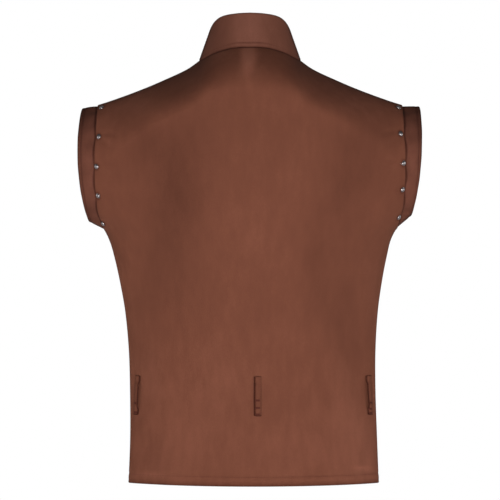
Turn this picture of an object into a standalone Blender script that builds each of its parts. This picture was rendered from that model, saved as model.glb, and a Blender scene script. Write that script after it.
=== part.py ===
"""Sleeveless vest with a stand collar, filled out as if worn and hollow inside.

Metres. The wearer's left is +X, the back is +Y and up is +Z. The origin is the middle of the neck base,
between the shoulders. Every cloth piece is a wall of one thickness. The body is lofted through rows:
the rows above the underarm run from armhole to armhole, and those below it from side seam to side seam.
"""

import math
from collections import namedtuple

import bmesh
import bpy
from mathutils import Vector
from mathutils.bvhtree import BVHTree

# Cloth
CLOTH = 0.0020
SEAM_GAP = 0.0003

# Heights on the body, measured from the neck base
SHOULDER_Z = -0.0662
UNDERARM_Z = -0.257
HEM_Z = -0.640

# Neck seam, an oval that falls towards the front
NECK_HALF_WIDTH = 0.078
NECK_HALF_DEPTH = 0.065
NECK_CENTRE_Y = -0.015
NECK_POINT_TURN = math.radians(82)
NECK_SHARE = 0.34
NECK_SEARCH = 0.130
NECK_SEARCH_STEPS = 30
ROW_SETTLE = 0.090

# Collar top edge, a smaller oval
COLLAR_HALF_WIDTH = 0.0625
COLLAR_HALF_DEPTH = 0.054
COLLAR_CENTRE_Y = -0.017
COLLAR_LIFT = 0.0006
COLLAR_END_GAP = 0.0008

# Centre front
LAP = 0.012
LAP_STEP = CLOTH + 0.0007
LAP_STEP_START = 0.036
LAP_STEP_END = 0.015

# Armhole bands
BAND_TUCK = 0.010
BAND_GAP = 0.0006
BAND_DEPTH = 0.050
BAND_BEND = 0.45

# Belt loops
LOOP_WIDTH = 0.011
LOOP_LENGTH = 0.0585
LOOP_THICKNESS = 0.0016
LOOP_FOOT = 0.007
LOOP_ARCH = 0.0026
LOOP_SEAT = 0.0004

# Studs
STUD_RADIUS = 0.0040
STUD_HEIGHT = 0.0024
STUD_SEAT = 0.0003
INSIDE_EDGE = 0.93

# Mesh fineness
ARMHOLE_ROWS = 16
SKIRT_ROWS = 14
NECK_COLUMNS = 7
SHOULDER_COLUMNS = 9
COLLAR_ROWS = 3
BAND_STEPS = 4
LOOP_STEPS = 10
STUD_SIDES = 12
STUD_RINGS = 2
PROBE = 0.010
FAR_BEHIND = 0.5
TINY = 1e-6
SMOOTH_ANGLE = math.radians(35)

Section = namedtuple("Section", "height half_width back front lens sway")
Ridge = namedtuple("Ridge", "across height back_reach front_reach crown")
Edge = namedtuple("Edge", "height across")
CollarTop = namedtuple("CollarTop", "turn height")
Fold = namedtuple("Fold", "face x1 z1 x2 z2 x3 z3 width depth")
Band = namedtuple("Band", "name side top_x top_z low_x low_z bulge")
Loop = namedtuple("Loop", "name x top_z lean")
StudPair = namedtuple("StudPair", "left right inset")
Finish = namedtuple("Finish", "colour roughness metallic")

# Body sections: half width, depth of the back and of the front at the middle, how pointed the sides are, and
# how far the middle hangs to the wearer's left. Lens 1 is an oval and 2 has sharp sides. Above the underarm
# the sections run on past the armholes.
TORSO = (
    Section(0.040, 0.276, 0.110, 0.098, 1.00, 0.0),
    Section(-0.065, 0.276, 0.115, 0.106, 1.00, 0.0),
    Section(-0.120, 0.275, 0.118, 0.115, 1.00, 0.0),
    Section(-0.162, 0.270, 0.118, 0.119, 1.00, 0.0),
    Section(-0.200, 0.2585, 0.116, 0.121, 1.02, 0.0),
    Section(-0.230, 0.2420, 0.113, 0.121, 1.10, 0.0),
    Section(-0.257, 0.2215, 0.109, 0.119, 1.24, 0.0),
    Section(-0.272, 0.2145, 0.107, 0.117, 1.32, 0.0),
    Section(-0.290, 0.2095, 0.104, 0.115, 1.40, -0.0006),
    Section(-0.330, 0.2011, 0.099, 0.110, 1.52, -0.0013),
    Section(-0.380, 0.1931, 0.094, 0.104, 1.60, -0.0023),
    Section(-0.440, 0.1885, 0.090, 0.099, 1.64, -0.0033),
    Section(-0.500, 0.1876, 0.090, 0.098, 1.64, -0.0042),
    Section(-0.570, 0.1886, 0.093, 0.099, 1.62, -0.0055),
    Section(-0.640, 0.1912, 0.098, 0.101, 1.60, -0.0056),
)

# The shoulder ridge from the middle out: its height, how far below it the cloth has turned down behind and
# in front, and the radius of the ridge. Inside the neck it is only the line that the cloth leads to.
SHOULDER = (
    Ridge(0.000, 0.0430, 0.090, 0.218, 0.006),
    Ridge(0.014, 0.0422, 0.089, 0.215, 0.006),
    Ridge(0.030, 0.0378, 0.086, 0.205, 0.006),
    Ridge(0.053, 0.0240, 0.076, 0.175, 0.006),
    Ridge(0.068, 0.0105, 0.070, 0.140, 0.007),
    Ridge(0.078, 0.0000, 0.068, 0.118, 0.008),
    Ridge(0.096, -0.0128, 0.066, 0.096, 0.010),
    Ridge(0.133, -0.0301, 0.066, 0.080, 0.016),
    Ridge(0.161, -0.0420, 0.070, 0.078, 0.024),
    Ridge(0.194, -0.0545, 0.080, 0.082, 0.040),
    Ridge(0.229, -0.0662, 0.095, 0.095, 0.060),
    Ridge(0.275, -0.0790, 0.110, 0.110, 0.070),
)

# The armhole edge as seen from behind
ARMHOLE = (
    Edge(-0.0662, 0.2290),
    Edge(-0.0850, 0.2325),
    Edge(-0.1200, 0.2360),
    Edge(-0.1600, 0.2370),
    Edge(-0.2000, 0.2345),
    Edge(-0.2300, 0.2300),
    Edge(-0.2570, 0.2215),
)

# Height of the collar's top edge, by the turn from the centre back in degrees
COLLAR_TOP = (
    CollarTop(0, 0.0713),
    CollarTop(20, 0.0703),
    CollarTop(43, 0.0668),
    CollarTop(60, 0.0595),
    CollarTop(82, 0.0450),
    CollarTop(105, 0.0290),
    CollarTop(130, 0.0105),
    CollarTop(155, -0.0060),
    CollarTop(180, -0.0120),
)

# Largest folds, each along a curve through three points: face 1 is the back, -1 the front
FOLDS = (
    Fold(1, 0.104, -0.100, 0.140, -0.230, 0.156, -0.400, 0.026, 0.0045),
    Fold(1, -0.143, -0.140, -0.122, -0.250, -0.104, -0.400, 0.024, 0.0040),
    Fold(1, -0.104, -0.330, -0.150, -0.430, -0.178, -0.545, 0.017, 0.0035),
    Fold(1, 0.168, -0.560, 0.155, -0.600, 0.150, -0.655, 0.022, 0.0035),
    Fold(1, 0.136, -0.430, 0.133, -0.480, 0.128, -0.540, 0.017, -0.0025),
    Fold(1, 0.070, -0.340, 0.085, -0.470, 0.078, -0.640, 0.030, 0.0020),
    Fold(1, -0.060, -0.350, -0.075, -0.480, -0.090, -0.600, 0.028, 0.0018),
    Fold(1, -0.182, -0.300, -0.176, -0.380, -0.168, -0.440, 0.014, -0.0022),
    Fold(-1, 0.128, -0.150, 0.120, -0.280, 0.140, -0.430, 0.025, 0.0042),
    Fold(-1, -0.118, -0.130, -0.136, -0.260, -0.132, -0.410, 0.026, 0.0045),
    Fold(-1, 0.092, -0.330, 0.140, -0.440, 0.165, -0.560, 0.018, 0.0032),
    Fold(-1, -0.150, -0.480, -0.146, -0.560, -0.128, -0.650, 0.022, 0.0035),
    Fold(-1, -0.070, -0.380, -0.084, -0.500, -0.078, -0.640, 0.026, 0.0022),
    Fold(-1, 0.064, -0.480, 0.076, -0.560, 0.070, -0.650, 0.024, 0.0022),
)
FOLD_STEPS = 12
FOLD_TAPER = 0.35
FOLD_FREE = 0.86

# Free edge of each armhole band: the ends of its oval at the shoulder and under the arm, and how far its side
# stands out between them. Side 1 is the wearer's left.
BANDS = (
    Band("left", 1, 0.2550, -0.0722, 0.2453, -0.2440, 0.0090),
    Band("right", -1, 0.2570, -0.0689, 0.2460, -0.2345, 0.0064),
)

# Belt loops on the back: where each hangs and how far its lower end leans to the wearer's left
LOOPS = (
    Loop("centre", -0.0112, -0.477, 0.0),
    Loop("left", 0.1690, -0.478, 0.0030),
    Loop("right", -0.1785, -0.478, -0.0030),
)

# Studs round the armholes, the same on the back and the front: the turn down from the shoulder in degrees on
# the wearer's left and on the right, and how far in from the armhole edge the studs sit
STUD_PAIRS = (
    StudPair(22, 22, 0.0042),
    StudPair(63, 60, 0.0068),
    StudPair(91, 88, 0.0075),
    StudPair(118, 112, 0.0066),
    StudPair(154, 143, 0.0050),
)

FINISHES = {
    "cloth": Finish((0.180, 0.066, 0.042, 1.0), 0.82, 0.0),
    "band_cloth": Finish((0.150, 0.055, 0.036, 1.0), 0.84, 0.0),
    "steel": Finish((0.62, 0.62, 0.65, 1.0), 0.25, 1.0),
}


def clear_scene():
    """Start from an empty scene."""
    for item in list(bpy.data.objects):
        bpy.data.objects.remove(item, do_unlink=True)


def smooth_step(value):
    """Ease from 0 to 1."""
    value = min(max(value, 0.0), 1.0)
    return value * value * (3 - 2 * value)


def mix(first, second, share):
    """The value a share of the way from the first to the second."""
    return first + (second - first) * share


def read_table(rows, key, column, at):
    """Smooth value of one named column of a table, at a key between its rows."""
    rows = sorted(rows, key=lambda row: getattr(row, key))
    keys = [getattr(row, key) for row in rows]
    values = [getattr(row, column) for row in rows]
    at = min(max(at, keys[0]), keys[-1])
    last = len(rows) - 1
    low = max(i for i in range(last) if keys[i] <= at)

    def slope(i):
        before, after = max(i - 1, 0), min(i + 1, last)
        return (values[after] - values[before]) / (keys[after] - keys[before])

    span = keys[low + 1] - keys[low]
    t = (at - keys[low]) / span
    return (
        (2 * t**3 - 3 * t**2 + 1) * values[low]
        + (t**3 - 2 * t**2 + t) * span * slope(low)
        + (3 * t**2 - 2 * t**3) * values[low + 1]
        + (t**3 - t**2) * span * slope(low + 1)
    )


def body_depth(face, across, height):
    """Depth of the body cloth, behind for face 1 or in front for face -1, at a place seen from there."""
    half_width = read_table(TORSO, "height", "half_width", height)
    middle = read_table(TORSO, "height", "back" if face > 0 else "front", height)
    lens = read_table(TORSO, "height", "lens", height)
    full = middle * max(1 - (across / half_width) ** 2, 0.0) ** (lens / 2)
    ridge = read_table(SHOULDER, "across", "height", across)
    reach = read_table(SHOULDER, "across", "back_reach" if face > 0 else "front_reach", across)
    crown = read_table(SHOULDER, "across", "crown", across)
    drop = min(max((ridge - height) / reach, 0.0), 1.0)
    flat = (math.hypot(full, crown) - crown) * (1 - (1 - drop) ** 2)
    return math.sqrt(flat * flat + 2 * flat * crown)


def neck_point(turn):
    """Point of the neck seam at a turn from the centre back: where the neck oval cuts the body cloth."""
    across = NECK_HALF_WIDTH * math.sin(abs(turn))
    y = NECK_CENTRE_Y + NECK_HALF_DEPTH * math.cos(turn)
    face = 1 if y > 0 else -1
    high = read_table(SHOULDER, "across", "height", across)
    low = high - NECK_SEARCH
    for _ in range(NECK_SEARCH_STEPS):
        middle = (high + low) / 2
        if body_depth(face, across, middle) > abs(y):
            low = middle
        else:
            high = middle
    return Vector((math.copysign(across, turn), y, (high + low) / 2))


def collar_top_point(turn):
    """Point of the collar's top edge at the same turn."""
    return Vector((
        COLLAR_HALF_WIDTH * math.sin(turn),
        COLLAR_CENTRE_Y + COLLAR_HALF_DEPTH * math.cos(turn),
        read_table(COLLAR_TOP, "turn", "height", abs(math.degrees(turn))),
    ))


def neck_turn(face, share):
    """Turn round the neck seam for a share of the panel's half width."""
    if face > 0:
        return NECK_POINT_TURN * share / NECK_SHARE
    return math.pi - (math.pi - NECK_POINT_TURN) * share / NECK_SHARE


def top_edge(face, share):
    """Top edge of a panel's left half: the neck seam, then the shoulder seam out to the armhole."""
    if share <= NECK_SHARE:
        return neck_point(neck_turn(face, share))
    along = (share - NECK_SHARE) / (1 - NECK_SHARE)
    start = neck_point(NECK_POINT_TURN)
    across = mix(start.x, ARMHOLE[0].across, along)
    ridge = read_table(SHOULDER, "across", "height", across)
    return Vector((across, start.y * (1 - smooth_step(along)), ridge))


def armhole_height(turn, below):
    """Height of a row's outer end."""
    return mix(SHOULDER_Z, UNDERARM_Z, (1 - math.cos(turn)) / 2) - below


def body_surface(face, across, turn, below):
    """Outer point of the body cloth without folds.

    face is 1 for the back and -1 for the front. across runs from -1 to 1. A row is named by its turn
    down the armhole, 0 to pi, and its distance below the underarm.
    """
    share = abs(across)
    side = math.copysign(1.0, across)
    top = top_edge(face, share)
    if turn == 0:
        return Vector((side * top.x, top.y, top.z))
    drop = (top.z - UNDERARM_Z) * (1 - math.cos(turn)) / 2 + below
    height = top.z - drop
    edge_height = armhole_height(turn, below)
    half_width = read_table(TORSO, "height", "half_width", edge_height)
    edge = half_width
    if turn < math.pi:
        edge = read_table(ARMHOLE, "height", "across", edge_height)
    wrap = math.asin(min(edge / half_width, 1.0))
    wide = edge * math.sin(share * wrap) / math.sin(wrap)
    x = mix(top.x, wide, smooth_step(drop / ROW_SETTLE))
    sway = read_table(TORSO, "height", "sway", height)
    return Vector((side * x + sway, face * body_depth(face, x, height), height))


def fold_curve(fold):
    """Points along a fold's line, as x and z."""
    points = []
    bend_x = 2 * fold.x2 - (fold.x1 + fold.x3) / 2
    bend_z = 2 * fold.z2 - (fold.z1 + fold.z3) / 2
    for i in range(FOLD_STEPS + 1):
        t = i / FOLD_STEPS
        x = (1 - t) ** 2 * fold.x1 + 2 * t * (1 - t) * bend_x + t**2 * fold.x3
        z = (1 - t) ** 2 * fold.z1 + 2 * t * (1 - t) * bend_z + t**2 * fold.z3
        points.append((x, z, t))
    return points


FOLD_CURVES = [(fold, fold_curve(fold)) for fold in FOLDS]


def fold_depth(face, x, z):
    """How far the folds sink the cloth at a place."""
    total = 0.0
    for fold, curve in FOLD_CURVES:
        if fold.face != face:
            continue
        distance, t = min((math.hypot(x - cx, z - cz), ct) for cx, cz, ct in curve)
        ends = smooth_step(t / FOLD_TAPER)
        if fold.z3 > HEM_Z:
            ends *= smooth_step((1 - t) / FOLD_TAPER)
        total += fold.depth * ends * math.exp(-((distance / fold.width) ** 2))
    return total


def panel_rows():
    """Each row of a panel as its turn down the armhole and its distance below the underarm."""
    rows = [(math.pi * i / ARMHOLE_ROWS, 0.0) for i in range(ARMHOLE_ROWS + 1)]
    skirt = UNDERARM_Z - HEM_Z
    rows += [(math.pi, skirt * i / SKIRT_ROWS) for i in range(1, SKIRT_ROWS + 1)]
    return rows


def half_columns():
    """Shares of the half width at which a panel's columns stand, from the middle outwards."""
    neck = [NECK_SHARE * i / NECK_COLUMNS for i in range(NECK_COLUMNS + 1)]
    shoulder = [mix(NECK_SHARE, 1.0, i / SHOULDER_COLUMNS) for i in range(1, SHOULDER_COLUMNS + 1)]
    return neck + shoulder


def grid_normals(grid, face):
    """Outward direction at each point of a grid, the mean of the cells that meet there."""
    rows, columns = len(grid), len(grid[0])
    normals = [[Vector((0, 0, 0)) for _ in range(columns)] for _ in range(rows)]
    for i in range(rows - 1):
        for j in range(columns - 1):
            down = (grid[i + 1][j] + grid[i + 1][j + 1]) - (grid[i][j] + grid[i][j + 1])
            over = (grid[i][j + 1] + grid[i + 1][j + 1]) - (grid[i][j] + grid[i + 1][j])
            turned = over.cross(down).normalized() * face
            for a, b in ((i, j), (i, j + 1), (i + 1, j), (i + 1, j + 1)):
                normals[a][b] += turned
    return [[normal.normalized() for normal in row] for row in normals]


def square_to_seam(normal):
    """The direction turned into the seam's own plane, so that both sides of a seam end alike."""
    return Vector((normal.x, 0.0, normal.z)).normalized()


def panel_grid(face, columns_for_row):
    """Outer points of a panel, row by row from the top edge to the hem, with its folds."""
    plain = []
    shares = []
    for turn, below in panel_rows():
        row_shares = columns_for_row(turn, below)
        shares.append(row_shares)
        plain.append([body_surface(face, across, turn, below) for across in row_shares])
    normals = grid_normals(plain, face)
    grid = []
    for i, row in enumerate(plain):
        points = []
        for j, point in enumerate(row):
            edge = 1 - smooth_step((abs(shares[i][j]) - FOLD_FREE) / (1 - FOLD_FREE))
            sink = fold_depth(face, point.x, point.z) * edge
            points.append(point - normals[i][j] * sink)
        grid.append(points)
    return grid, shares


def open_seams(grid, shares, face):
    """Draw the shoulder and side seams half a gap back from the piece they meet."""
    for i, (turn, below) in enumerate(panel_rows()):
        for j, across in enumerate(shares[i]):
            on_shoulder = i == 0 and abs(across) > NECK_SHARE - TINY
            on_side = turn > math.pi - TINY and abs(across) > 1 - TINY
            if on_shoulder or on_side:
                grid[i][j].y += face * SEAM_GAP / 2


def back_columns(turn, below):
    """Shares at which the back's columns stand, right to left."""
    half = half_columns()
    return [-share for share in reversed(half[1:])] + half


def left_front_columns(turn, below):
    """Shares of the left front's columns, from its lap over the centre to the side."""
    spread = body_surface(-1, LAP, turn, below).x - body_surface(-1, -LAP, turn, below).x
    return [-2 * LAP * LAP / spread] + half_columns()


def right_front_columns(turn, below):
    """Shares of the right front's columns, the left front's in a mirror."""
    return [-share for share in reversed(left_front_columns(turn, below))]


def step_under_lap(grid):
    """Sink the right front's edge under the left front."""
    for row, (turn, below) in zip(grid, panel_rows()):
        middle = body_surface(-1, 0.0, turn, below).x
        for point in row:
            share = (point.x - middle + LAP_STEP_START) / (LAP_STEP_START - LAP_STEP_END)
            point.y += LAP_STEP * smooth_step(share)


def inner_points(grid, shares, face, mitres):
    """Inner side of a panel, one cloth thickness in, with square seams and a mitred neck edge."""
    normals = grid_normals(grid, face)
    inner = []
    for i, (turn, below) in enumerate(panel_rows()):
        points = []
        for j, across in enumerate(shares[i]):
            normal = normals[i][j]
            reach = CLOTH
            share = abs(across)
            if i == 0 and share < NECK_SHARE + TINY:
                mitre = mitres[face][min(round(share / NECK_SHARE * NECK_COLUMNS), NECK_COLUMNS)]
                normal = Vector((math.copysign(mitre[0].x, across), mitre[0].y, mitre[0].z))
                reach = mitre[1]
            elif i == 0 or (turn > math.pi - TINY and share > 1 - TINY):
                normal = square_to_seam(normal)
            points.append(grid[i][j] - normal * reach)
        inner.append(points)
    return inner


def collar_turns():
    """Turns round the neck at which the collar's columns stand, the same as the body's neck columns."""
    back = [NECK_POINT_TURN * i / NECK_COLUMNS for i in range(NECK_COLUMNS + 1)]
    front = [mix(NECK_POINT_TURN, math.pi, i / NECK_COLUMNS) for i in range(1, NECK_COLUMNS + 1)]
    half = back + front
    return [-turn for turn in reversed(half[1:])] + half


def collar_grid():
    """Outer points of the collar, from its top edge down to the neck seam."""
    grid = []
    for i in range(COLLAR_ROWS + 1):
        share = i / COLLAR_ROWS
        grid.append([collar_top_point(turn).lerp(neck_point(turn), share) for turn in collar_turns()])
    return grid


def neck_mitres(back_grid, front_grid):
    """Direction and length through the cloth at the neck seam, halfway between body and collar."""
    collar_normals = grid_normals(collar_grid(), 1)[-1]
    middle = len(collar_normals) // 2
    back_normals = grid_normals(back_grid, 1)[0]
    front_normals = grid_normals(front_grid, -1)[0]
    back_middle = len(back_normals) // 2
    mitres = {1: [], -1: []}
    for i in range(NECK_COLUMNS + 1):
        for face, body, collar in (
            (1, back_normals[back_middle + i], collar_normals[middle + i]),
            (-1, front_normals[1 + i], collar_normals[-1 - i]),
        ):
            halfway = (body + collar).normalized()
            if i == NECK_COLUMNS:
                halfway = square_to_seam(halfway)
            mitres[face].append((halfway, CLOTH / halfway.dot(collar)))
    corner = (mitres[1][-1][0] + mitres[-1][-1][0]).normalized()
    reach = (mitres[1][-1][1] + mitres[-1][-1][1]) / 2
    mitres[1][-1] = mitres[-1][-1] = (corner, reach)
    return mitres


def wall(name, outer, inner, finish, closed=False):
    """A solid wall between an outer and an inner grid of points, with square rims."""
    mesh = bmesh.new()
    rows, columns = len(outer), len(outer[0])
    sides = []
    for grid in (outer, inner):
        sides.append([[mesh.verts.new(point) for point in row] for row in grid])
    spans = columns if closed else columns - 1
    for grid in sides:
        for i in range(rows - 1):
            for j in range(spans):
                k = (j + 1) % columns
                mesh.faces.new((grid[i][j], grid[i][k], grid[i + 1][k]))
                mesh.faces.new((grid[i][j], grid[i + 1][k], grid[i + 1][j]))
    over, under = sides
    for i in (0, rows - 1):
        for j in range(spans):
            k = (j + 1) % columns
            mesh.faces.new((over[i][j], over[i][k], under[i][k], under[i][j]))
    if not closed:
        for j in (0, columns - 1):
            for i in range(rows - 1):
                mesh.faces.new((over[i][j], over[i + 1][j], under[i + 1][j], under[i][j]))
    bmesh.ops.triangulate(mesh, faces=mesh.faces)
    bmesh.ops.recalc_face_normals(mesh, faces=mesh.faces)
    return add_object(name, mesh, finish)


def add_object(name, mesh, finish):
    """Put a finished mesh in the scene with its own material."""
    data = bpy.data.meshes.new(name)
    mesh.to_mesh(data)
    mesh.free()
    piece = bpy.data.objects.new(name, data)
    bpy.context.collection.objects.link(piece)
    look = FINISHES[finish]
    material = bpy.data.materials.new(name)
    material.use_nodes = True
    shader = material.node_tree.nodes["Principled BSDF"]
    shader.inputs["Base Color"].default_value = look.colour
    shader.inputs["Roughness"].default_value = look.roughness
    shader.inputs["Metallic"].default_value = look.metallic
    material.diffuse_color = look.colour
    data.materials.append(material)
    data.shade_smooth()
    data.set_sharp_from_angle(angle=SMOOTH_ANGLE)
    return piece


def grid_tree(grid):
    """A tree of a grid's facets, to find the place on it nearest to a point."""
    columns = len(grid[0])
    points = [point for row in grid for point in row]
    faces = []
    for i in range(len(grid) - 1):
        for j in range(columns - 1):
            a = i * columns + j
            faces.append((a, a + 1, a + columns + 1))
            faces.append((a, a + columns + 1, a + columns))
    return BVHTree.FromPolygons(points, faces)


def seat(tree, point):
    """Nearest place on a panel's outer side, and its outward direction there."""
    place, normal, _, _ = tree.find_nearest(point)
    return place, normal if normal.y * point.y > 0 else -normal


def seat_behind(tree, across, height):
    """Place on the back's outer side straight behind a point, and its outward direction there."""
    place, normal, _, _ = tree.ray_cast(Vector((across, FAR_BEHIND, height)), Vector((0, -1, 0)))
    return place, normal if normal.y > 0 else -normal


def rise_above(tree, points, normal):
    """How far the cloth under some points stands above them, along a direction."""
    rises = [0.0]
    for point in points:
        place = tree.ray_cast(point + normal * PROBE, -normal, 2 * PROBE)[0]
        if place is not None:
            rises.append((place - point).dot(normal))
    return max(rises)


def make_collar(mitres):
    """The stand collar, one strip round the neck with its ends meeting at the centre front."""
    outer = collar_grid()
    turns = collar_turns()
    normals = grid_normals(outer, 1)
    middle = len(turns) // 2
    inner = []
    for i, row in enumerate(outer):
        points = []
        for j, point in enumerate(row):
            normal, reach = normals[i][j], CLOTH
            if i == COLLAR_ROWS:
                steps = abs(j - middle)
                face = 1 if steps <= NECK_COLUMNS else -1
                index = steps if face > 0 else 2 * NECK_COLUMNS - steps
                mitre, reach = mitres[face][index]
                normal = Vector((math.copysign(mitre.x, turns[j]), mitre.y, mitre.z))
            if j in (0, len(turns) - 1):
                normal = Vector((0.0, normal.y, normal.z)).normalized()
            points.append(point - normal * reach)
        inner.append(points)
    for grid in (outer, inner):
        for point in grid[-1]:
            point.z += COLLAR_LIFT
        for row in grid:
            row[0].x -= COLLAR_END_GAP / 2
            row[-1].x += COLLAR_END_GAP / 2
    wall("collar", outer, inner, "cloth")


def band_free_edge(band, turn, face):
    """Point of a band's free edge at a turn down the armhole, as on the wearer's left."""
    up = (1 + math.cos(turn)) / 2
    x = mix(band.low_x, band.top_x, up) + band.bulge * math.sin(turn) ** 2
    return Vector((x, face * BAND_DEPTH * math.sin(turn), mix(band.low_z, band.top_z, up)))


def armhole_columns(outer, inner):
    """A panel's armhole edge on the wearer's left, each row as its edge, its neighbour and the cloth's inside."""
    rows = []
    for i in range(ARMHOLE_ROWS + 1):
        inward = (outer[i][-2] - outer[i][-1]).normalized()
        through = (inner[i][-1] - outer[i][-1]).normalized()
        rows.append((inner[i][-1], inward, through))
    return rows


def band_ring(band, back, front):
    """Band points round the left armhole: from the tucked edge, under the body, out to the free edge."""
    back_rows = armhole_columns(*back)
    front_rows = armhole_columns(*front)
    joined = [(i, 1, back_rows[i]) for i in range(ARMHOLE_ROWS + 1)]
    joined += [(i, -1, front_rows[i]) for i in range(ARMHOLE_ROWS - 1, 0, -1)]
    other = {1: front_rows, -1: back_rows}
    columns = []
    for i, face, (edge, inward, through) in joined:
        turn = math.pi * i / ARMHOLE_ROWS
        if i in (0, ARMHOLE_ROWS):
            across_edge, across_inward, across_through = other[face][i]
            edge = (edge + across_edge) / 2
            inward = (inward + across_inward).normalized()
            through = (through + across_through).normalized()
        start = edge + through * BAND_GAP
        free = band_free_edge(band, turn, face)
        bend = start - inward * (free - start).length * BAND_BEND
        column = [start + inward * BAND_TUCK]
        for step in range(BAND_STEPS + 1):
            t = step / BAND_STEPS
            column.append((1 - t) ** 2 * start + 2 * t * (1 - t) * bend + t**2 * free)
        columns.append(column)
    return [[column[k] for column in columns] for k in range(len(columns[0]))]


def ring_normals(grid, centre):
    """Outward direction at each point of a ring of columns that closes on itself."""
    rows, columns = len(grid), len(grid[0])
    normals = []
    for i in range(rows):
        line = []
        for j in range(columns):
            before, after = grid[i][j - 1], grid[i][(j + 1) % columns]
            down = grid[min(i + 1, rows - 1)][j] - grid[max(i - 1, 0)][j]
            normal = (after - before).cross(down).normalized()
            line.append(normal if normal.dot(grid[i][j] - centre) > 0 else -normal)
        normals.append(line)
    return normals


def make_bands(back, front):
    """The armhole bands. Both armholes are alike, so the right band is shaped on the left one and mirrored."""
    for band in BANDS:
        outer = band_ring(band, back, front)
        centre = Vector((band.low_x - BAND_TUCK, 0.0, (band.top_z + band.low_z) / 2))
        normals = ring_normals(outer, centre)
        inner = [[p - n * CLOTH for p, n in zip(row, line)] for row, line in zip(outer, normals)]
        for grid in (outer, inner):
            for row in grid:
                for point in row:
                    point.x *= band.side
        wall("band_" + band.name, outer, inner, "band_cloth", closed=True)


def make_loop(loop, tree):
    """A belt loop: a strip sewn down at both ends and standing off the back in between."""
    outer, inner = [], []
    for i in range(LOOP_STEPS + 1):
        along = LOOP_LENGTH * i / LOOP_STEPS
        rise = smooth_step((min(along, LOOP_LENGTH - along) - LOOP_FOOT) / LOOP_FOOT)
        lift = LOOP_SEAT + LOOP_ARCH * rise
        middle_x = loop.x + loop.lean * i / LOOP_STEPS
        middle, normal = seat_behind(tree, middle_x, loop.top_z - along)
        across = normal.cross(Vector((0, 0, 1))).normalized()
        line = [middle + across * LOOP_WIDTH * share for share in (-0.5, 0.0, 0.5)]
        height = lift + rise_above(tree, line, normal)
        inner.append([place + normal * height for place in line])
        outer.append([place + normal * (height + LOOP_THICKNESS) for place in line])
    wall("belt_loop_" + loop.name, outer, inner, "cloth")


def make_stud(name, tree, place, normal):
    """A domed stud with a flat back, seated on the highest cloth under its rim."""
    spin = normal.to_track_quat("Z", "Y")
    rim = [
        place + spin @ Vector((math.cos(angle), math.sin(angle), 0.0)) * STUD_RADIUS
        for angle in (math.tau * i / STUD_SIDES for i in range(STUD_SIDES))
    ]
    base = place + normal * (STUD_SEAT + rise_above(tree, rim, normal))
    mesh = bmesh.new()
    rings = []
    for k in range(STUD_RINGS + 1):
        lift = math.radians(90) * k / (STUD_RINGS + 1)
        rings.append([
            mesh.verts.new(base + spin @ Vector((
                STUD_RADIUS * math.cos(lift) * math.cos(math.tau * i / STUD_SIDES),
                STUD_RADIUS * math.cos(lift) * math.sin(math.tau * i / STUD_SIDES),
                STUD_HEIGHT * math.sin(lift),
            )))
            for i in range(STUD_SIDES)
        ])
    crown = mesh.verts.new(base + normal * STUD_HEIGHT)
    mesh.faces.new(rings[0])
    for k in range(STUD_RINGS):
        for i in range(STUD_SIDES):
            n = (i + 1) % STUD_SIDES
            mesh.faces.new((rings[k][i], rings[k][n], rings[k + 1][n], rings[k + 1][i]))
    for i in range(STUD_SIDES):
        mesh.faces.new((rings[-1][i], rings[-1][(i + 1) % STUD_SIDES], crown))
    bmesh.ops.triangulate(mesh, faces=mesh.faces)
    bmesh.ops.recalc_face_normals(mesh, faces=mesh.faces)
    add_object(name, mesh, "steel")


def make_studs(face, tree, first):
    """The studs of one panel, round both of its armhole edges."""
    for side, side_name in ((1, "left"), (-1, "right")):
        for number, pair in enumerate(STUD_PAIRS):
            turn = math.radians(getattr(pair, side_name))
            edge = body_surface(face, side, turn, 0.0)
            inside = body_surface(face, side * INSIDE_EDGE, turn, 0.0)
            target = edge + (inside - edge).normalized() * pair.inset
            place, normal = seat(tree[side], target)
            make_stud("stud_%s_%d" % (side_name, first + number), tree[side], place, normal)


def main():
    """Build every piece."""
    clear_scene()
    back_grid, back_shares = panel_grid(1, back_columns)
    left_grid, left_shares = panel_grid(-1, left_front_columns)
    right_grid, right_shares = panel_grid(-1, right_front_columns)
    mitres = neck_mitres(back_grid, left_grid)
    step_under_lap(right_grid)
    pieces = {}
    for name, grid, shares, face in (
        ("back", back_grid, back_shares, 1),
        ("front_left", left_grid, left_shares, -1),
        ("front_right", right_grid, right_shares, -1),
    ):
        open_seams(grid, shares, face)
        inner = inner_points(grid, shares, face, mitres)
        wall(name, grid, inner, "cloth")
        pieces[name] = (grid, inner)
    make_collar(mitres)
    make_bands(pieces["back"], pieces["front_left"])
    back_tree = grid_tree(back_grid)
    for loop in LOOPS:
        make_loop(loop, back_tree)
    make_studs(1, {1: back_tree, -1: back_tree}, 1)
    make_studs(-1, {1: grid_tree(left_grid), -1: grid_tree(right_grid)}, 1 + len(STUD_PAIRS))


main()
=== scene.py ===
"""Dresses a sleeveless stand-collar vest, filled out as worn: its brushed cloth, sewing, studs, light and camera.

Metres. The wearer's left is +X, the back is +Y and up is +Z. Every cloth piece is a thin shell on the worn form,
with its creases, seams and hems in its outer side. The camera looks at the back, as the photograph does.
"""
import logging
import math
from collections.abc import Callable, Iterable, Sequence
from dataclasses import dataclass, field
from enum import Enum
from typing import NamedTuple

import bpy
import numpy as np
from mathutils import Matrix, Vector
from mathutils.bvhtree import BVHTree


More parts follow.
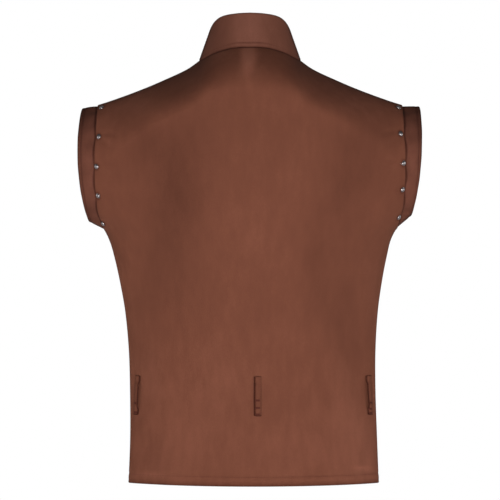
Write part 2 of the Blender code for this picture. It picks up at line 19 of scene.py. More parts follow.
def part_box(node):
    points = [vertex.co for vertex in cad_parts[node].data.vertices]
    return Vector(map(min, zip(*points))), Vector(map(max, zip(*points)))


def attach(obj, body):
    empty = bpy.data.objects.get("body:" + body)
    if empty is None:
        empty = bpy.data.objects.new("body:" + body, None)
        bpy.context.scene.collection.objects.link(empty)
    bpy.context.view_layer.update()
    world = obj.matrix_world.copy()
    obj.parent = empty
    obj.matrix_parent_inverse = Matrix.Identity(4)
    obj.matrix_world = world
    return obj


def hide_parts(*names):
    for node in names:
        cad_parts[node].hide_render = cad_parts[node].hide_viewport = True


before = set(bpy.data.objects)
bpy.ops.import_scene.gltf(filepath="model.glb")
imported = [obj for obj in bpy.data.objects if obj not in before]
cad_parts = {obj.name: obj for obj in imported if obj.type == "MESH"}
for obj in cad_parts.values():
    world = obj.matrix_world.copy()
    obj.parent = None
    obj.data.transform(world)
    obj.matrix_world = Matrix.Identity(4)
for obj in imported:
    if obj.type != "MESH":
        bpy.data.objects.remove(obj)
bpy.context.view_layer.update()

Array = np.ndarray
Colour = tuple[float, float, float]
Socket = bpy.types.NodeSocket
Threads = list[tuple[Array, Array]]
LOG = logging.getLogger("vest")
ROOT = "root"
TINY = 1e-6
# How far a free edge's rim stands out, as a share of the cloth's thickness
RIM_ROUNDNESS = 0.42


class Face(Enum):
    """Which side of the garment a panel is on."""

    BACK = 1
    FRONT = -1


class Side(Enum):
    """The wearer's side."""

    LEFT = 1
    RIGHT = -1


class Slot(Enum):
    """Names of the material slots."""

    CLOTH = "cloth"
    BAND = "band_cloth"
    STEEL = "steel"


class Section(NamedTuple):
    """A level section of the body: half width, depth behind and in front, pointedness of the sides, and sway."""

    height: float
    half_width: float
    back: float
    front: float
    lens: float
    sway: float


class Ridge(NamedTuple):
    """A place along the shoulder ridge: height, fall behind and in front, and radius of the ridge."""

    across: float
    height: float
    back_reach: float
    front_reach: float
    crown: float


class Edge(NamedTuple):
    """A place on the armhole edge, seen from behind."""

    height: float
    across: float


class CollarTop(NamedTuple):
    """Height of the collar's top edge at a turn from the centre back, in degrees."""

    turn: float
    height: float


class Crease(NamedTuple):
    """A soft trough along a curve through three places, seen square on. A negative depth is a ridge."""

    x1: float
    z1: float
    x2: float
    z2: float
    x3: float
    z3: float
    width: float
    depth: float


class PaintedLightPatch(NamedTuple):
    """A soft patch of painted light or, below 0, painted shade."""

    x: float
    z: float
    half_across: float
    half_down: float
    tilt: float
    strength: float

    def over(self, x: Array, z: Array) -> Array:
        """How strong the patch is at each place."""
        across = (x - self.x) * math.cos(self.tilt) + (z - self.z) * math.sin(self.tilt)
        down = (z - self.z) * math.cos(self.tilt) - (x - self.x) * math.sin(self.tilt)
        return self.strength * np.exp(-((across / self.half_across) ** 2) - (down / self.half_down) ** 2)


class Line(NamedTuple):
    """A soft line along an edge: how far in from it, its half width, and how much it sinks or shades the cloth."""

    inset: float
    width: float
    strength: float

    def over(self, distance: Array) -> Array:
        """How strong the line is at each distance from the edge."""
        return self.strength * bell(distance - self.inset, self.width)


class Lamp(NamedTuple):
    """A square soft lamp that points at the garment: its place, width and power in watts."""

    name: str
    x: float
    y: float
    z: float
    size: float
    power: float


class BandEdge(NamedTuple):
    """Free edge of an armhole band: its oval's ends at the shoulder and under the arm, and its side's bulge."""

    side: Side
    top_x: float
    top_z: float
    low_x: float
    low_z: float
    bulge: float


class StudTurn(NamedTuple):
    """Turns down the armholes at which a pair of studs sits, in degrees."""

    left: float
    right: float

    def at(self, side: Side) -> float:
        """The turn on one side, in radians."""
        return math.radians(self.left if side is Side.LEFT else self.right)


class LoopPlace(NamedTuple):
    """A belt loop on the back: where it hangs, how far its lower end leans to the wearer's left, its open side,
    and the places of its bar tacks as shares of its length."""

    name: str
    x: float
    top_z: float
    lean: float
    open_side: int
    tacks: tuple[float, ...]


TORSO = (
    Section(0.040, 0.276, 0.110, 0.098, 1.00, 0.0),
    Section(-0.065, 0.276, 0.115, 0.106, 1.00, 0.0),
    Section(-0.120, 0.275, 0.118, 0.115, 1.00, 0.0),
    Section(-0.162, 0.270, 0.118, 0.119, 1.00, 0.0),
    Section(-0.200, 0.2585, 0.116, 0.121, 1.02, 0.0),
    Section(-0.230, 0.2420, 0.113, 0.121, 1.10, 0.0),
    Section(-0.257, 0.2215, 0.109, 0.119, 1.24, 0.0),
    Section(-0.272, 0.2145, 0.107, 0.117, 1.32, 0.0),
    Section(-0.290, 0.2095, 0.104, 0.115, 1.40, -0.0006),
    Section(-0.330, 0.2011, 0.099, 0.110, 1.52, -0.0013),
    Section(-0.380, 0.1931, 0.094, 0.104, 1.60, -0.0023),
    Section(-0.440, 0.1885, 0.090, 0.099, 1.64, -0.0033),
    Section(-0.500, 0.1876, 0.090, 0.098, 1.64, -0.0042),
    Section(-0.570, 0.1886, 0.093, 0.099, 1.62, -0.0055),
    Section(-0.640, 0.1912, 0.098, 0.101, 1.60, -0.0056),
)

SHOULDER = (
    Ridge(0.000, 0.0430, 0.090, 0.218, 0.006),
    Ridge(0.014, 0.0422, 0.089, 0.215, 0.006),
    Ridge(0.030, 0.0378, 0.086, 0.205, 0.006),
    Ridge(0.053, 0.0240, 0.076, 0.175, 0.006),
    Ridge(0.068, 0.0105, 0.070, 0.140, 0.007),
    Ridge(0.078, 0.0000, 0.068, 0.118, 0.008),
    Ridge(0.096, -0.0128, 0.066, 0.096, 0.010),
    Ridge(0.133, -0.0301, 0.066, 0.080, 0.016),
    Ridge(0.161, -0.0420, 0.070, 0.078, 0.024),
    Ridge(0.194, -0.0545, 0.080, 0.082, 0.040),
    Ridge(0.229, -0.0662, 0.095, 0.095, 0.060),
    Ridge(0.275, -0.0790, 0.110, 0.110, 0.070),
)

ARMHOLE = (
    Edge(-0.0667, 0.2308),
    Edge(-0.0850, 0.2320),
    Edge(-0.1200, 0.2332),
    Edge(-0.1600, 0.2335),
    Edge(-0.2000, 0.2322),
    Edge(-0.2300, 0.2288),
    Edge(-0.2570, 0.2215),
)

COLLAR_TOP = (
    CollarTop(0, 0.0713),
    CollarTop(20, 0.0703),
    CollarTop(43, 0.0668),
    CollarTop(60, 0.0595),
    CollarTop(82, 0.0450),
    CollarTop(105, 0.0290),
    CollarTop(130, 0.0105),
    CollarTop(155, -0.0060),
    CollarTop(180, -0.0120),
)

BACK_FOLDS = (
    Crease(0.104, -0.100, 0.140, -0.230, 0.156, -0.400, 0.026, 0.0045),
    Crease(-0.143, -0.140, -0.122, -0.250, -0.104, -0.400, 0.024, 0.0040),
    Crease(-0.104, -0.330, -0.150, -0.430, -0.178, -0.545, 0.017, 0.0035),
    Crease(0.168, -0.560, 0.155, -0.600, 0.150, -0.655, 0.022, 0.0035),
    Crease(0.136, -0.430, 0.133, -0.480, 0.128, -0.540, 0.017, -0.0025),
    Crease(0.070, -0.340, 0.085, -0.470, 0.078, -0.640, 0.030, 0.0020),
    Crease(-0.060, -0.350, -0.075, -0.480, -0.090, -0.600, 0.028, 0.0018),
    Crease(-0.182, -0.300, -0.176, -0.380, -0.168, -0.440, 0.014, -0.0022),
)

BACK_CREASES = (
    Crease(0.226, -0.116, 0.212, -0.112, 0.192, -0.120, 0.0040, 0.0010),
    Crease(0.228, -0.121, 0.214, -0.127, 0.200, -0.146, 0.0035, 0.0008),
    Crease(0.228, -0.160, 0.213, -0.156, 0.196, -0.158, 0.0038, 0.0009),
    Crease(0.227, -0.165, 0.212, -0.172, 0.199, -0.190, 0.0035, 0.0007),
    Crease(0.224, -0.204, 0.210, -0.203, 0.190, -0.212, 0.0042, 0.0009),
    Crease(0.222, -0.209, 0.208, -0.220, 0.196, -0.240, 0.0038, 0.0007),
    Crease(0.214, -0.246, 0.202, -0.256, 0.190, -0.276, 0.0050, 0.0011),
    Crease(-0.226, -0.112, -0.210, -0.109, -0.190, -0.118, 0.0040, 0.0010),
    Crease(-0.228, -0.117, -0.214, -0.125, -0.202, -0.144, 0.0035, 0.0008),
    Crease(-0.228, -0.154, -0.211, -0.152, -0.194, -0.158, 0.0040, 0.0008),
    Crease(-0.227, -0.160, -0.213, -0.168, -0.201, -0.188, 0.0035, 0.0008),
    Crease(-0.225, -0.196, -0.209, -0.196, -0.190, -0.204, 0.0042, 0.0009),
    Crease(-0.223, -0.201, -0.208, -0.212, -0.196, -0.234, 0.0038, 0.0007),
    Crease(-0.214, -0.238, -0.202, -0.250, -0.190, -0.272, 0.0050, 0.0011),
    Crease(0.205, -0.262, 0.180, -0.285, 0.165, -0.330, 0.0080, 0.0012),
    Crease(-0.205, -0.258, -0.184, -0.286, -0.170, -0.326, 0.0080, 0.0012),
    Crease(0.196, -0.330, 0.176, -0.352, 0.150, -0.362, 0.0090, 0.0010),
    Crease(-0.194, -0.352, -0.172, -0.372, -0.150, -0.378, 0.0090, 0.0010),
    Crease(-0.186, -0.560, -0.166, -0.590, -0.160, -0.650, 0.0100, -0.0012),
    Crease(0.052, -0.610, 0.047, -0.628, 0.049, -0.650, 0.0120, 0.0011),
    Crease(-0.094, -0.605, -0.088, -0.625, -0.091, -0.650, 0.0130, 0.0012),
)

FRONT_FOLDS = (
    Crease(0.128, -0.150, 0.120, -0.280, 0.140, -0.430, 0.025, 0.0042),
    Crease(-0.118, -0.130, -0.136, -0.260, -0.132, -0.410, 0.026, 0.0045),
    Crease(0.092, -0.330, 0.140, -0.440, 0.165, -0.560, 0.018, 0.0032),
    Crease(-0.150, -0.480, -0.146, -0.560, -0.128, -0.650, 0.022, 0.0035),
    Crease(-0.070, -0.380, -0.084, -0.500, -0.078, -0.640, 0.026, 0.0022),
    Crease(0.064, -0.480, 0.076, -0.560, 0.070, -0.650, 0.024, 0.0022),
)

FRONT_CREASES = (
    Crease(0.226, -0.114, 0.208, -0.112, 0.188, -0.124, 0.0042, 0.0010),
    Crease(0.228, -0.160, 0.212, -0.160, 0.195, -0.172, 0.0038, 0.0009),
    Crease(0.224, -0.205, 0.206, -0.209, 0.190, -0.226, 0.0044, 0.0010),
    Crease(0.214, -0.245, 0.202, -0.256, 0.186, -0.282, 0.0055, 0.0011),
    Crease(-0.226, -0.116, -0.206, -0.115, -0.190, -0.126, 0.0040, 0.0009),
    Crease(-0.228, -0.160, -0.210, -0.158, -0.193, -0.166, 0.0040, 0.0010),
    Crease(-0.224, -0.203, -0.208, -0.208, -0.194, -0.228, 0.0042, 0.0009),
    Crease(-0.214, -0.244, -0.198, -0.258, -0.186, -0.280, 0.0055, 0.0012),
    Crease(0.120, -0.060, 0.098, -0.088, 0.066, -0.104, 0.0120, 0.0016),
    Crease(-0.126, -0.062, -0.102, -0.086, -0.070, -0.100, 0.0120, 0.0014),
    Crease(0.030, -0.130, 0.026, -0.200, 0.034, -0.280, 0.0110, 0.0010),
    Crease(-0.042, -0.300, -0.034, -0.360, -0.040, -0.430, 0.0130, 0.0011),
    Crease(0.194, -0.345, 0.170, -0.368, 0.146, -0.372, 0.0090, 0.0010),
    Crease(-0.194, -0.335, -0.174, -0.352, -0.150, -0.360, 0.0090, 0.0011),
)

COLLAR_CREASES = (
    Crease(-0.040, -0.006, -0.036, -0.022, -0.040, -0.044, 0.012, 0.0007),
    Crease(0.045, -0.010, 0.040, -0.026, 0.046, -0.046, 0.014, 0.0008),
    Crease(0.004, -0.008, 0.008, -0.024, 0.004, -0.042, 0.016, -0.0006),
    Crease(-0.128, -0.008, -0.122, -0.026, -0.126, -0.048, 0.014, 0.0009),
    Crease(0.132, -0.006, 0.128, -0.026, 0.134, -0.050, 0.015, 0.0008),
)

# Soft patches of painted light and, below 0, painted shade over the back
BACK_PAINTED_LIGHT = (
    PaintedLightPatch(0.003, 0.004, 0.0110, 0.030, 0.0, 1.08),
    PaintedLightPatch(0.108, -0.188, 0.050, 0.125, 0.12, -0.54),
    PaintedLightPatch(-0.167, -0.155, 0.043, 0.075, 0.0, -0.43),
    PaintedLightPatch(-0.140, -0.245, 0.032, 0.100, -0.1, -0.26),
    PaintedLightPatch(-0.146, -0.390, 0.020, 0.060, -0.15, -0.40),
    PaintedLightPatch(0.150, -0.610, 0.055, 0.045, 0.0, 0.06),
    PaintedLightPatch(0.100, -0.575, 0.045, 0.070, 0.0, 0.18),
    PaintedLightPatch(-0.165, -0.612, 0.055, 0.045, 0.0, 0.20),
    PaintedLightPatch(-0.142, -0.515, 0.022, 0.065, 0.1, 0.25),
    PaintedLightPatch(-0.080, -0.605, 0.045, 0.040, 0.0, 0.11),
    PaintedLightPatch(0.155, -0.058, 0.055, 0.014, 0.35, 0.18),
    PaintedLightPatch(-0.165, -0.062, 0.055, 0.014, -0.35, 0.16),
    PaintedLightPatch(0.062, -0.028, 0.020, 0.020, 0.0, -0.33),
    PaintedLightPatch(-0.065, -0.018, 0.018, 0.018, 0.0, -0.34),
    PaintedLightPatch(0.150, -0.626, 0.024, 0.0032, 0.0, 0.43),
    PaintedLightPatch(-0.170, -0.617, 0.014, 0.0032, 0.1, 0.36),
    PaintedLightPatch(0.125, -0.300, 0.045, 0.075, 0.0, -0.16),
    PaintedLightPatch(-0.105, -0.340, 0.024, 0.090, 0.0, -0.18),
    PaintedLightPatch(0.148, -0.480, 0.022, 0.040, 0.15, 0.20),
    PaintedLightPatch(0.160, -0.130, 0.026, 0.034, 0.0, -0.28),
    PaintedLightPatch(-0.045, -0.590, 0.055, 0.060, 0.0, 0.11),
    PaintedLightPatch(0.165, -0.075, 0.050, 0.016, 0.35, 0.22),
    PaintedLightPatch(-0.178, -0.082, 0.040, 0.022, -0.4, 0.26),
    PaintedLightPatch(0.060, -0.480, 0.040, 0.060, 0.0, 0.11),
    PaintedLightPatch(-0.225, -0.200, 0.022, 0.040, 0.0, -0.24),
    PaintedLightPatch(0.185, -0.300, 0.020, 0.060, 0.1, 0.07),
    PaintedLightPatch(0.070, -0.060, 0.030, 0.025, 0.0, 0.07),
    PaintedLightPatch(-0.005, -0.072, 0.065, 0.024, 0.0, 0.10),
    PaintedLightPatch(0.050, 0.010, 0.020, 0.012, 0.0, 0.22),
    PaintedLightPatch(-0.002, 0.010, 0.012, 0.014, 0.0, 0.35),
    PaintedLightPatch(-0.094, -0.280, 0.016, 0.080, 0.0, -0.14),
    PaintedLightPatch(-0.167, -0.550, 0.014, 0.032, 0.0, 0.18),
    PaintedLightPatch(-0.166, -0.445, 0.013, 0.036, 0.0, -0.18),
    PaintedLightPatch(0.180, -0.420, 0.014, 0.022, 0.0, -0.12),
)

BAND_EDGES = (
    BandEdge(Side.LEFT, 0.2550, -0.0722, 0.2453, -0.2440, 0.0090),
    BandEdge(Side.RIGHT, 0.2570, -0.0689, 0.2460, -0.2345, 0.0064),
)

STUD_TURNS = (
    StudTurn(22, 22),
    StudTurn(63, 60),
    StudTurn(91, 88),
    StudTurn(118, 112),
    StudTurn(154, 143),
)

BELT_LOOPS = (
    LoopPlace("centre", -0.0112, -0.477, 0.0, 1, (0.605, 0.795, 0.965)),
    LoopPlace("left", 0.1690, -0.478, 0.0030, -1, (0.705, 0.945)),
    LoopPlace("right", -0.1785, -0.478, -0.0030, 1, (0.700, 0.855, 0.965)),
)

LAMPS = (
    Lamp("key", 0.0, 4.6, -0.3, 1.6, 50.0),
    Lamp("left", 3.8, 0.8, -0.3, 1.6, 20.0),
    Lamp("right", -3.8, 0.8, -0.3, 1.6, 25.0),
    Lamp("under", 0.0, 2.4, -1.40, 1.2, 60.0),
    Lamp("front", 0.0, -4.6, -0.1, 1.6, 100.0),
)


def smooth_step(value: Array | float, start: float = 0.0, reach: float = 1.0) -> Array:
    """Ease each value from 0 at the start to 1 where it is the reach past it."""
    share = np.clip((value - start) / reach, 0.0, 1.0)
    return share * share * (3 - 2 * share)


def bell(distance: Array, width: float, power: int = 2) -> Array:
    """Fall softly from 1 to about a third at the width. A higher power gives a flatter top."""
    return np.exp(-((distance / width) ** power))


def mix(first: Array | float, second: Array | float, share: Array | float) -> Array:
    """Blend from the first value at share 0 to the second at share 1."""
    return first + (second - first) * share


def unit(vectors: Array) -> Array:
    """Scale the vectors along the last axis to length 1."""
    return vectors / np.maximum(np.linalg.norm(vectors, axis=-1, keepdims=True), 1e-12)


def read_table(rows: Sequence[NamedTuple], key: str, column: str, at: Array) -> Array:
    """Read a smooth value of one named column of a table.

    Args:
        rows: The table.
        key: Name of the column that the places are given in.
        column: Name of the column to read.
        at: Places between the table's rows.

    Returns:
        The column's value at each place.
    """
    ordered = sorted(rows, key=lambda row: getattr(row, key))
    keys = np.array([getattr(row, key) for row in ordered], dtype=float)
    values = np.array([getattr(row, column) for row in ordered], dtype=float)
    slopes = np.gradient(values, keys, edge_order=1)
    slopes[1:-1] = (values[2:] - values[:-2]) / (keys[2:] - keys[:-2])
    at = np.clip(at, keys[0], keys[-1])
    low = np.clip(np.searchsorted(keys, at, side="right") - 1, 0, len(keys) - 2)
    span = keys[low + 1] - keys[low]
    t = (at - keys[low]) / span
    start = (2 * t**3 - 3 * t**2 + 1) * values[low] + (t**3 - 2 * t**2 + t) * span * slopes[low]
    end = (3 * t**2 - 2 * t**3) * values[low + 1] + (t**3 - t**2) * span * slopes[low + 1]
    return start + end


def grid_normals(grid: Array, outward: int, ring: bool = False) -> Array:
    """Find the outward direction at each point of a grid.

    Args:
        grid: Points as rows, columns and x, y, z.
        outward: 1 where rows down crossed with columns along point out, -1 where they point in.
        ring: Whether the columns close on themselves.

    Returns:
        A unit vector for each point.
    """
    if ring:
        over = np.roll(grid, -1, axis=1) - np.roll(grid, 1, axis=1)
    else:
        over = np.gradient(grid, axis=1)
    return unit(np.cross(over, np.gradient(grid, axis=0))) * outward


def run_along(grid: Array, axis: int) -> Array:
    """Measure how far each point lies along its row or column.

    Args:
        grid: Points as rows, columns and x, y, z.
        axis: 0 to measure down the columns, 1 to measure along the rows.

    Returns:
        The length from the first point.
    """
    steps = np.linalg.norm(np.diff(grid, axis=axis), axis=2)
    start = np.zeros_like(np.take(steps, [0], axis=axis))
    return np.cumsum(np.concatenate([start, steps], axis=axis), axis=axis)


def read_along(run: Array, line: Array, at: Array) -> Array:
    """Read a line of points or directions at given lengths along it, from the length at each of them."""
    return np.stack([np.interp(at, run, line[:, axis]) for axis in range(3)], axis=1)


def crease_depth(creases: Iterable[Crease], x: Array, z: Array, taper: float, steps: int = 12) -> Array:
    """Add up how far creases sink the cloth.

    Args:
        creases: Troughs and ridges, each along its curve.
        x: Places across, seen square on.
        z: Heights of the places.
        taper: Share of a crease over which each of its ends fades.
        steps: Straight stretches that stand for each curve.

    Returns:
        The depth at each place.
    """
    total = np.zeros_like(x)
    t = np.linspace(0, 1, steps + 1)
    for crease in creases:
        bend_x = 2 * crease.x2 - (crease.x1 + crease.x3) / 2
        bend_z = 2 * crease.z2 - (crease.z1 + crease.z3) / 2
        line_x = (1 - t) ** 2 * crease.x1 + 2 * t * (1 - t) * bend_x + t**2 * crease.x3
        line_z = (1 - t) ** 2 * crease.z1 + 2 * t * (1 - t) * bend_z + t**2 * crease.z3
        nearest = np.full_like(x, np.inf)
        place = np.zeros_like(x)
        for i in range(steps):
            run_x, run_z = line_x[i + 1] - line_x[i], line_z[i + 1] - line_z[i]
            along = ((x - line_x[i]) * run_x + (z - line_z[i]) * run_z) / (run_x**2 + run_z**2)
            along = np.clip(along, 0, 1)
            distance = np.hypot(x - line_x[i] - along * run_x, z - line_z[i] - along * run_z)
            closer = distance < nearest
            nearest = np.where(closer, distance, nearest)
            place = np.where(closer, (i + along) / steps, place)
        ends = smooth_step(place, 0, taper)
        # A crease that runs out over the hem doesn't fade there
        if crease.z3 > BodyForm.hem_z:
            ends = ends * smooth_step(1 - place, 0, taper)
        total += crease.depth * ends * bell(nearest, crease.width)
    return total


def stud_nodes(side: Side) -> list[str]:
    """Name the studs' solids on one side, those of the back first, each half from the shoulder down."""
    return ["stud_%s_%d" % (side.name.lower(), number + 1) for number in range(2 * len(STUD_TURNS))]


def box_centre(node: str) -> Array:
    """Find the middle of a solid's box."""
    return np.mean(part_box(node), axis=0)


@dataclass(frozen=True)
class BodyForm:
    """The worn shape that every cloth piece follows."""

    shoulder_z: float = -0.0667
    underarm_z: float = -0.257
    hem_z: float = -0.640
    neck_half_width: float = 0.078
    neck_half_depth: float = 0.068
    neck_centre_y: float = -0.013
    neck_point_turn: float = math.radians(82)
    neck_share: float = 0.34
    neck_search: float = 0.130
    search_steps: int = 30
    row_settle: float = 0.090
    slope_step: float = 0.0004
    collar_half_width: float = 0.0625
    collar_half_depth: float = 0.054
    collar_centre_y: float = -0.017
    cloth: float = 0.0020

    def depth(self, face: Face, across: Array, height: Array) -> Array:
        """Find how far behind or in front the cloth is at a place seen square on.

        Args:
            face: The back or the front.
            across: Places across.
            height: Heights of the places.

        Returns:
            The depths.
        """
        name = face.name.lower()
        half_width = read_table(TORSO, "height", "half_width", height)
        middle = read_table(TORSO, "height", name, height)
        lens = read_table(TORSO, "height", "lens", height)
        full = middle * np.maximum(1 - (across / half_width) ** 2, 0) ** (lens / 2)
        ridge = read_table(SHOULDER, "across", "height", across)
        reach = read_table(SHOULDER, "across", name + "_reach", across)
        crown = read_table(SHOULDER, "across", "crown", across)
        drop = np.clip((ridge - height) / reach, 0, 1)
        flat = (np.hypot(full, crown) - crown) * (1 - (1 - drop) ** 2)
        return np.sqrt(flat * flat + 2 * flat * crown)

    def outward(self, face: Face, x: Array, height: Array) -> Array:
        """Find the cloth's outward direction at a place seen square on.

        Args:
            face: The back or the front.
            x: Places across, below 0 on the wearer's right.
            height: Heights of the places.

        Returns:
            The directions.
        """
        across, step = np.abs(x), self.slope_step
        height = np.minimum(height, read_table(SHOULDER, "across", "height", across) - 2 * step)
        widened = self.depth(face, across + step, height) - self.depth(face, across - step, height)
        raised = self.depth(face, across, height + step) - self.depth(face, across, height - step)
        sides = -widened * np.where(x < 0, -1.0, 1.0) / (2 * step)
        return unit(np.stack([sides, np.full_like(across, face.value), -raised / (2 * step)], axis=-1))

    def neck_edge(self, turns: Array) -> Array:
        """Find the neck seam, where the neck oval cuts the body.

        Args:
            turns: Turns from the centre back.

        Returns:
            A point for each turn.
        """
        point, turn = self.neck_point_turn, np.abs(turns)
        quarter = np.where(turn < point, turn / point, 2 - (math.pi - turn) / (math.pi - point))
        across = self.neck_half_width * np.sin(quarter * math.pi / 2)
        y = self.neck_centre_y + self.neck_half_depth * np.cos(turns)
        high = read_table(SHOULDER, "across", "height", across)
        low = high - self.neck_search
        for _ in range(self.search_steps):
            middle = (high + low) / 2
            behind = self.depth(Face.BACK, across, middle)
            before = self.depth(Face.FRONT, across, middle)
            deeper = np.where(y > 0, behind, before) > np.abs(y)
            low = np.where(deeper, middle, low)
            high = np.where(deeper, high, middle)
        return np.stack([np.copysign(across, turns), y, (high + low) / 2], axis=-1)

    def collar_edge(self, turns: Array) -> Array:
        """Find the collar's top edge.

        Args:
            turns: Turns from the centre back.

        Returns:
            A point for each turn.
        """
        height = read_table(COLLAR_TOP, "turn", "height", np.abs(np.degrees(turns)))
        x = self.collar_half_width * np.sin(turns)
        y = self.collar_centre_y + self.collar_half_depth * np.cos(turns)
        return np.stack([x, y, height], axis=-1)

    def top_edge(self, face: Face, shares: Array) -> Array:
        """Find the top edge of a panel's left half: the neck seam, then the shoulder seam.

        Args:
            face: The back or the front.
            shares: Shares of the panel's half width.

        Returns:
            A point for each share.
        """
        inner = np.minimum(shares, self.neck_share) / self.neck_share
        turns = self.neck_point_turn * inner
        if face is Face.FRONT:
            turns = math.pi - (math.pi - self.neck_point_turn) * inner
        neck = self.neck_edge(turns)
        start = self.neck_edge(np.array([self.neck_point_turn]))[0]
        along = np.clip((shares - self.neck_share) / (1 - self.neck_share), 0, 1)
        across = mix(start[0], ARMHOLE[0].across, along)
        ridge = read_table(SHOULDER, "across", "height", across)
        seam = np.stack([across, start[1] * (1 - smooth_step(along)), ridge], axis=-1)
        return np.where((shares <= self.neck_share)[..., None], neck, seam)

    def surface(self, face: Face, shares: Array, turns: Array, below: Array) -> Array:
        """Find the outer side of the cloth without creases.

        Args:
            face: The back or the front.
            shares: For each row, shares of the half width from -1 to 1.
            turns: For each row, its turn down the armhole.
            below: For each row, its distance below the underarm.

        Returns:
            Points as rows, columns and x, y, z.
        """
        share = np.abs(shares)
        side = np.where(shares < 0, -1.0, 1.0)
        turn, below = np.broadcast_arrays(turns[:, None], below[:, None])
        top = self.top_edge(face, share)
        fall = (1 - np.cos(turn)) / 2
        drop = (top[..., 2] - self.underarm_z) * fall + below
        height = top[..., 2] - drop
        edge_height = mix(self.shoulder_z, self.underarm_z, fall) - below
        half_width = read_table(TORSO, "height", "half_width", edge_height)
        cut = read_table(ARMHOLE, "height", "across", edge_height)
        edge = np.where(turn < math.pi - TINY, cut, half_width)
        wrap = np.arcsin(np.minimum(edge / half_width, 1.0))
        wide = edge * np.sin(share * wrap) / np.sin(wrap)
        x = mix(top[..., 0], wide, smooth_step(drop, 0, self.row_settle))
        y = face.value * self.depth(face, x, height)
        if face is Face.FRONT:
            y = np.where(share > self.neck_share, np.minimum(y, top[..., 1]), y)
        y = np.where(turn == 0, top[..., 1], y)
        sway = np.where(turn == 0, 0.0, read_table(TORSO, "height", "sway", height))
        return np.stack([side * x + sway, y, height], axis=-1)


@dataclass
class ClothGrid:
    """A cloth piece as points over its outer side."""

    points: Array
    outward: int
    ring: bool = False

    def normals(self) -> Array:
        """Outward directions of the points."""
        return grid_normals(self.points, self.outward, self.ring)

    def index(self) -> Array:
        """The points' numbers, in their rows and columns."""
        return np.arange(self.points[..., 0].size).reshape(self.points.shape[:2])

    def quads(self) -> Array:
        """The facets between the points, as four point numbers each, seen from outside."""
        index = self.index()
        after = np.roll(index, -1, axis=1) if self.ring else index[:, 1:]
        here = index if self.ring else index[:, :-1]
        quads = np.stack([here[:-1], after[:-1], after[1:], here[1:]], axis=-1).reshape(-1, 4)
        return quads if self.outward > 0 else quads[:, ::-1]

    def borders(self) -> Threads:
        """Follow the free borders.

        Returns:
            The border's points and the next ones in, for each border in the order that its rim is closed.
        """
        index = self.index()
        if self.ring:
            loops = [(index[0][::-1], index[1][::-1]), (index[-1], index[-2])]
        else:
            border = np.concatenate([index[0, :-1], index[:-1, -1], index[-1, :0:-1], index[:0:-1, 0]])
            inside = np.concatenate([index[1, :-1], index[:-1, -2], index[-2, :0:-1], index[:0:-1, 1]])
            loops = [(border[::-1], inside[::-1])]
        return loops if self.outward > 0 else [(border[::-1], inside[::-1]) for border, inside in loops]

    def trace_down(self, values: Array, value: float) -> tuple[Array, Array]:
        """Follow the line where values that rise or fall down each column reach a given one.

        Args:
            values: One number for each point.
            value: The one to follow.

        Returns:
            The line's points and their outward directions.
        """
        normals = self.normals()
        places, ups = [], []
        for j in range(self.points.shape[1]):
            above = values[:, j] - value
            crossing = np.nonzero(above[:-1] * above[1:] < 0)[0]
            if len(crossing) == 0:
                continue
            i = crossing[0]
            share = above[i] / (above[i] - above[i + 1])
            places.append(mix(self.points[i, j], self.points[i + 1, j], share))
            ups.append(mix(normals[i, j], normals[i + 1, j], share))
        return np.array(places), unit(np.array(ups))


class Graph:
    """Builds a node tree a node at a time."""

    def __init__(self, tree: bpy.types.NodeTree) -> None:
        """Start with the tree to build in."""
        self.tree = tree

    def fill(self, node: bpy.types.Node, inputs: dict) -> None:
        """Set or link a node's inputs.

        Args:
            node: The node.
            inputs: Input names or numbers, each with a value or another node's output.
        """
        for name, value in inputs.items():
            if isinstance(value, Socket):
                self.tree.links.new(value, node.inputs[name])
            else:
                node.inputs[name].default_value = value

    def add(self, kind: str, inputs: dict | None = None, **settings: object) -> bpy.types.Node:
        """Add a node, give it its settings and fill its inputs.

        Args:
            kind: Blender's name for the node's type.
            inputs: Input names or numbers, each with a value or another node's output.
            **settings: The node's own properties.

        Returns:
            The node.
        """
        made = self.tree.nodes.new(kind)
        for name, value in settings.items():
            setattr(made, name, value)
        self.fill(made, inputs or {})
        return made

    def math(self, operation: str, first: object, second: object = 0.0, clamp: bool = False) -> Socket:
        """Add a named sum of one or two values or sockets, between 0 and 1 where it is clamped."""
        return self.add("ShaderNodeMath", {0: first, 1: second}, operation=operation, use_clamp=clamp).outputs[0]

    def blend(self, share: object, first: object, second: object, mode: str = "MIX") -> Socket:
        """Blend two colours or sockets, the first at share 0 and the second at share 1."""
        inputs = {0: share, 6: first, 7: second}
        return self.add("ShaderNodeMix", inputs, data_type="RGBA", blend_type=mode).outputs[2]

    def noise(self, place: Socket, scale: object, detail: float) -> Socket:
        """Add a noise about 0.5 over the given places, with as many finer layers as its detail says."""
        return self.add("ShaderNodeTexNoise", {"Vector": place, "Scale": scale, "Detail": detail}).outputs["Fac"]

    def centred(self, value: Socket, gain: float) -> Socket:
        """Scale a value about 0.5 to one about 0."""
        return self.math("MULTIPLY", self.math("SUBTRACT", value, 0.5), gain)


def opaque(colour: Colour) -> tuple[float, float, float, float]:
    """Give a colour its full alpha."""
    return (*colour, 1.0)


def start_material(name: str) -> tuple[bpy.types.Material, Graph, bpy.types.Node]:
    """Start a material.

    Args:
        name: Its name.

    Returns:
        The material, its node tree's builder and its shader.
    """
    made = bpy.data.materials.new(name)
    made.use_nodes = True
    return made, Graph(made.node_tree), made.node_tree.nodes["Principled BSDF"]


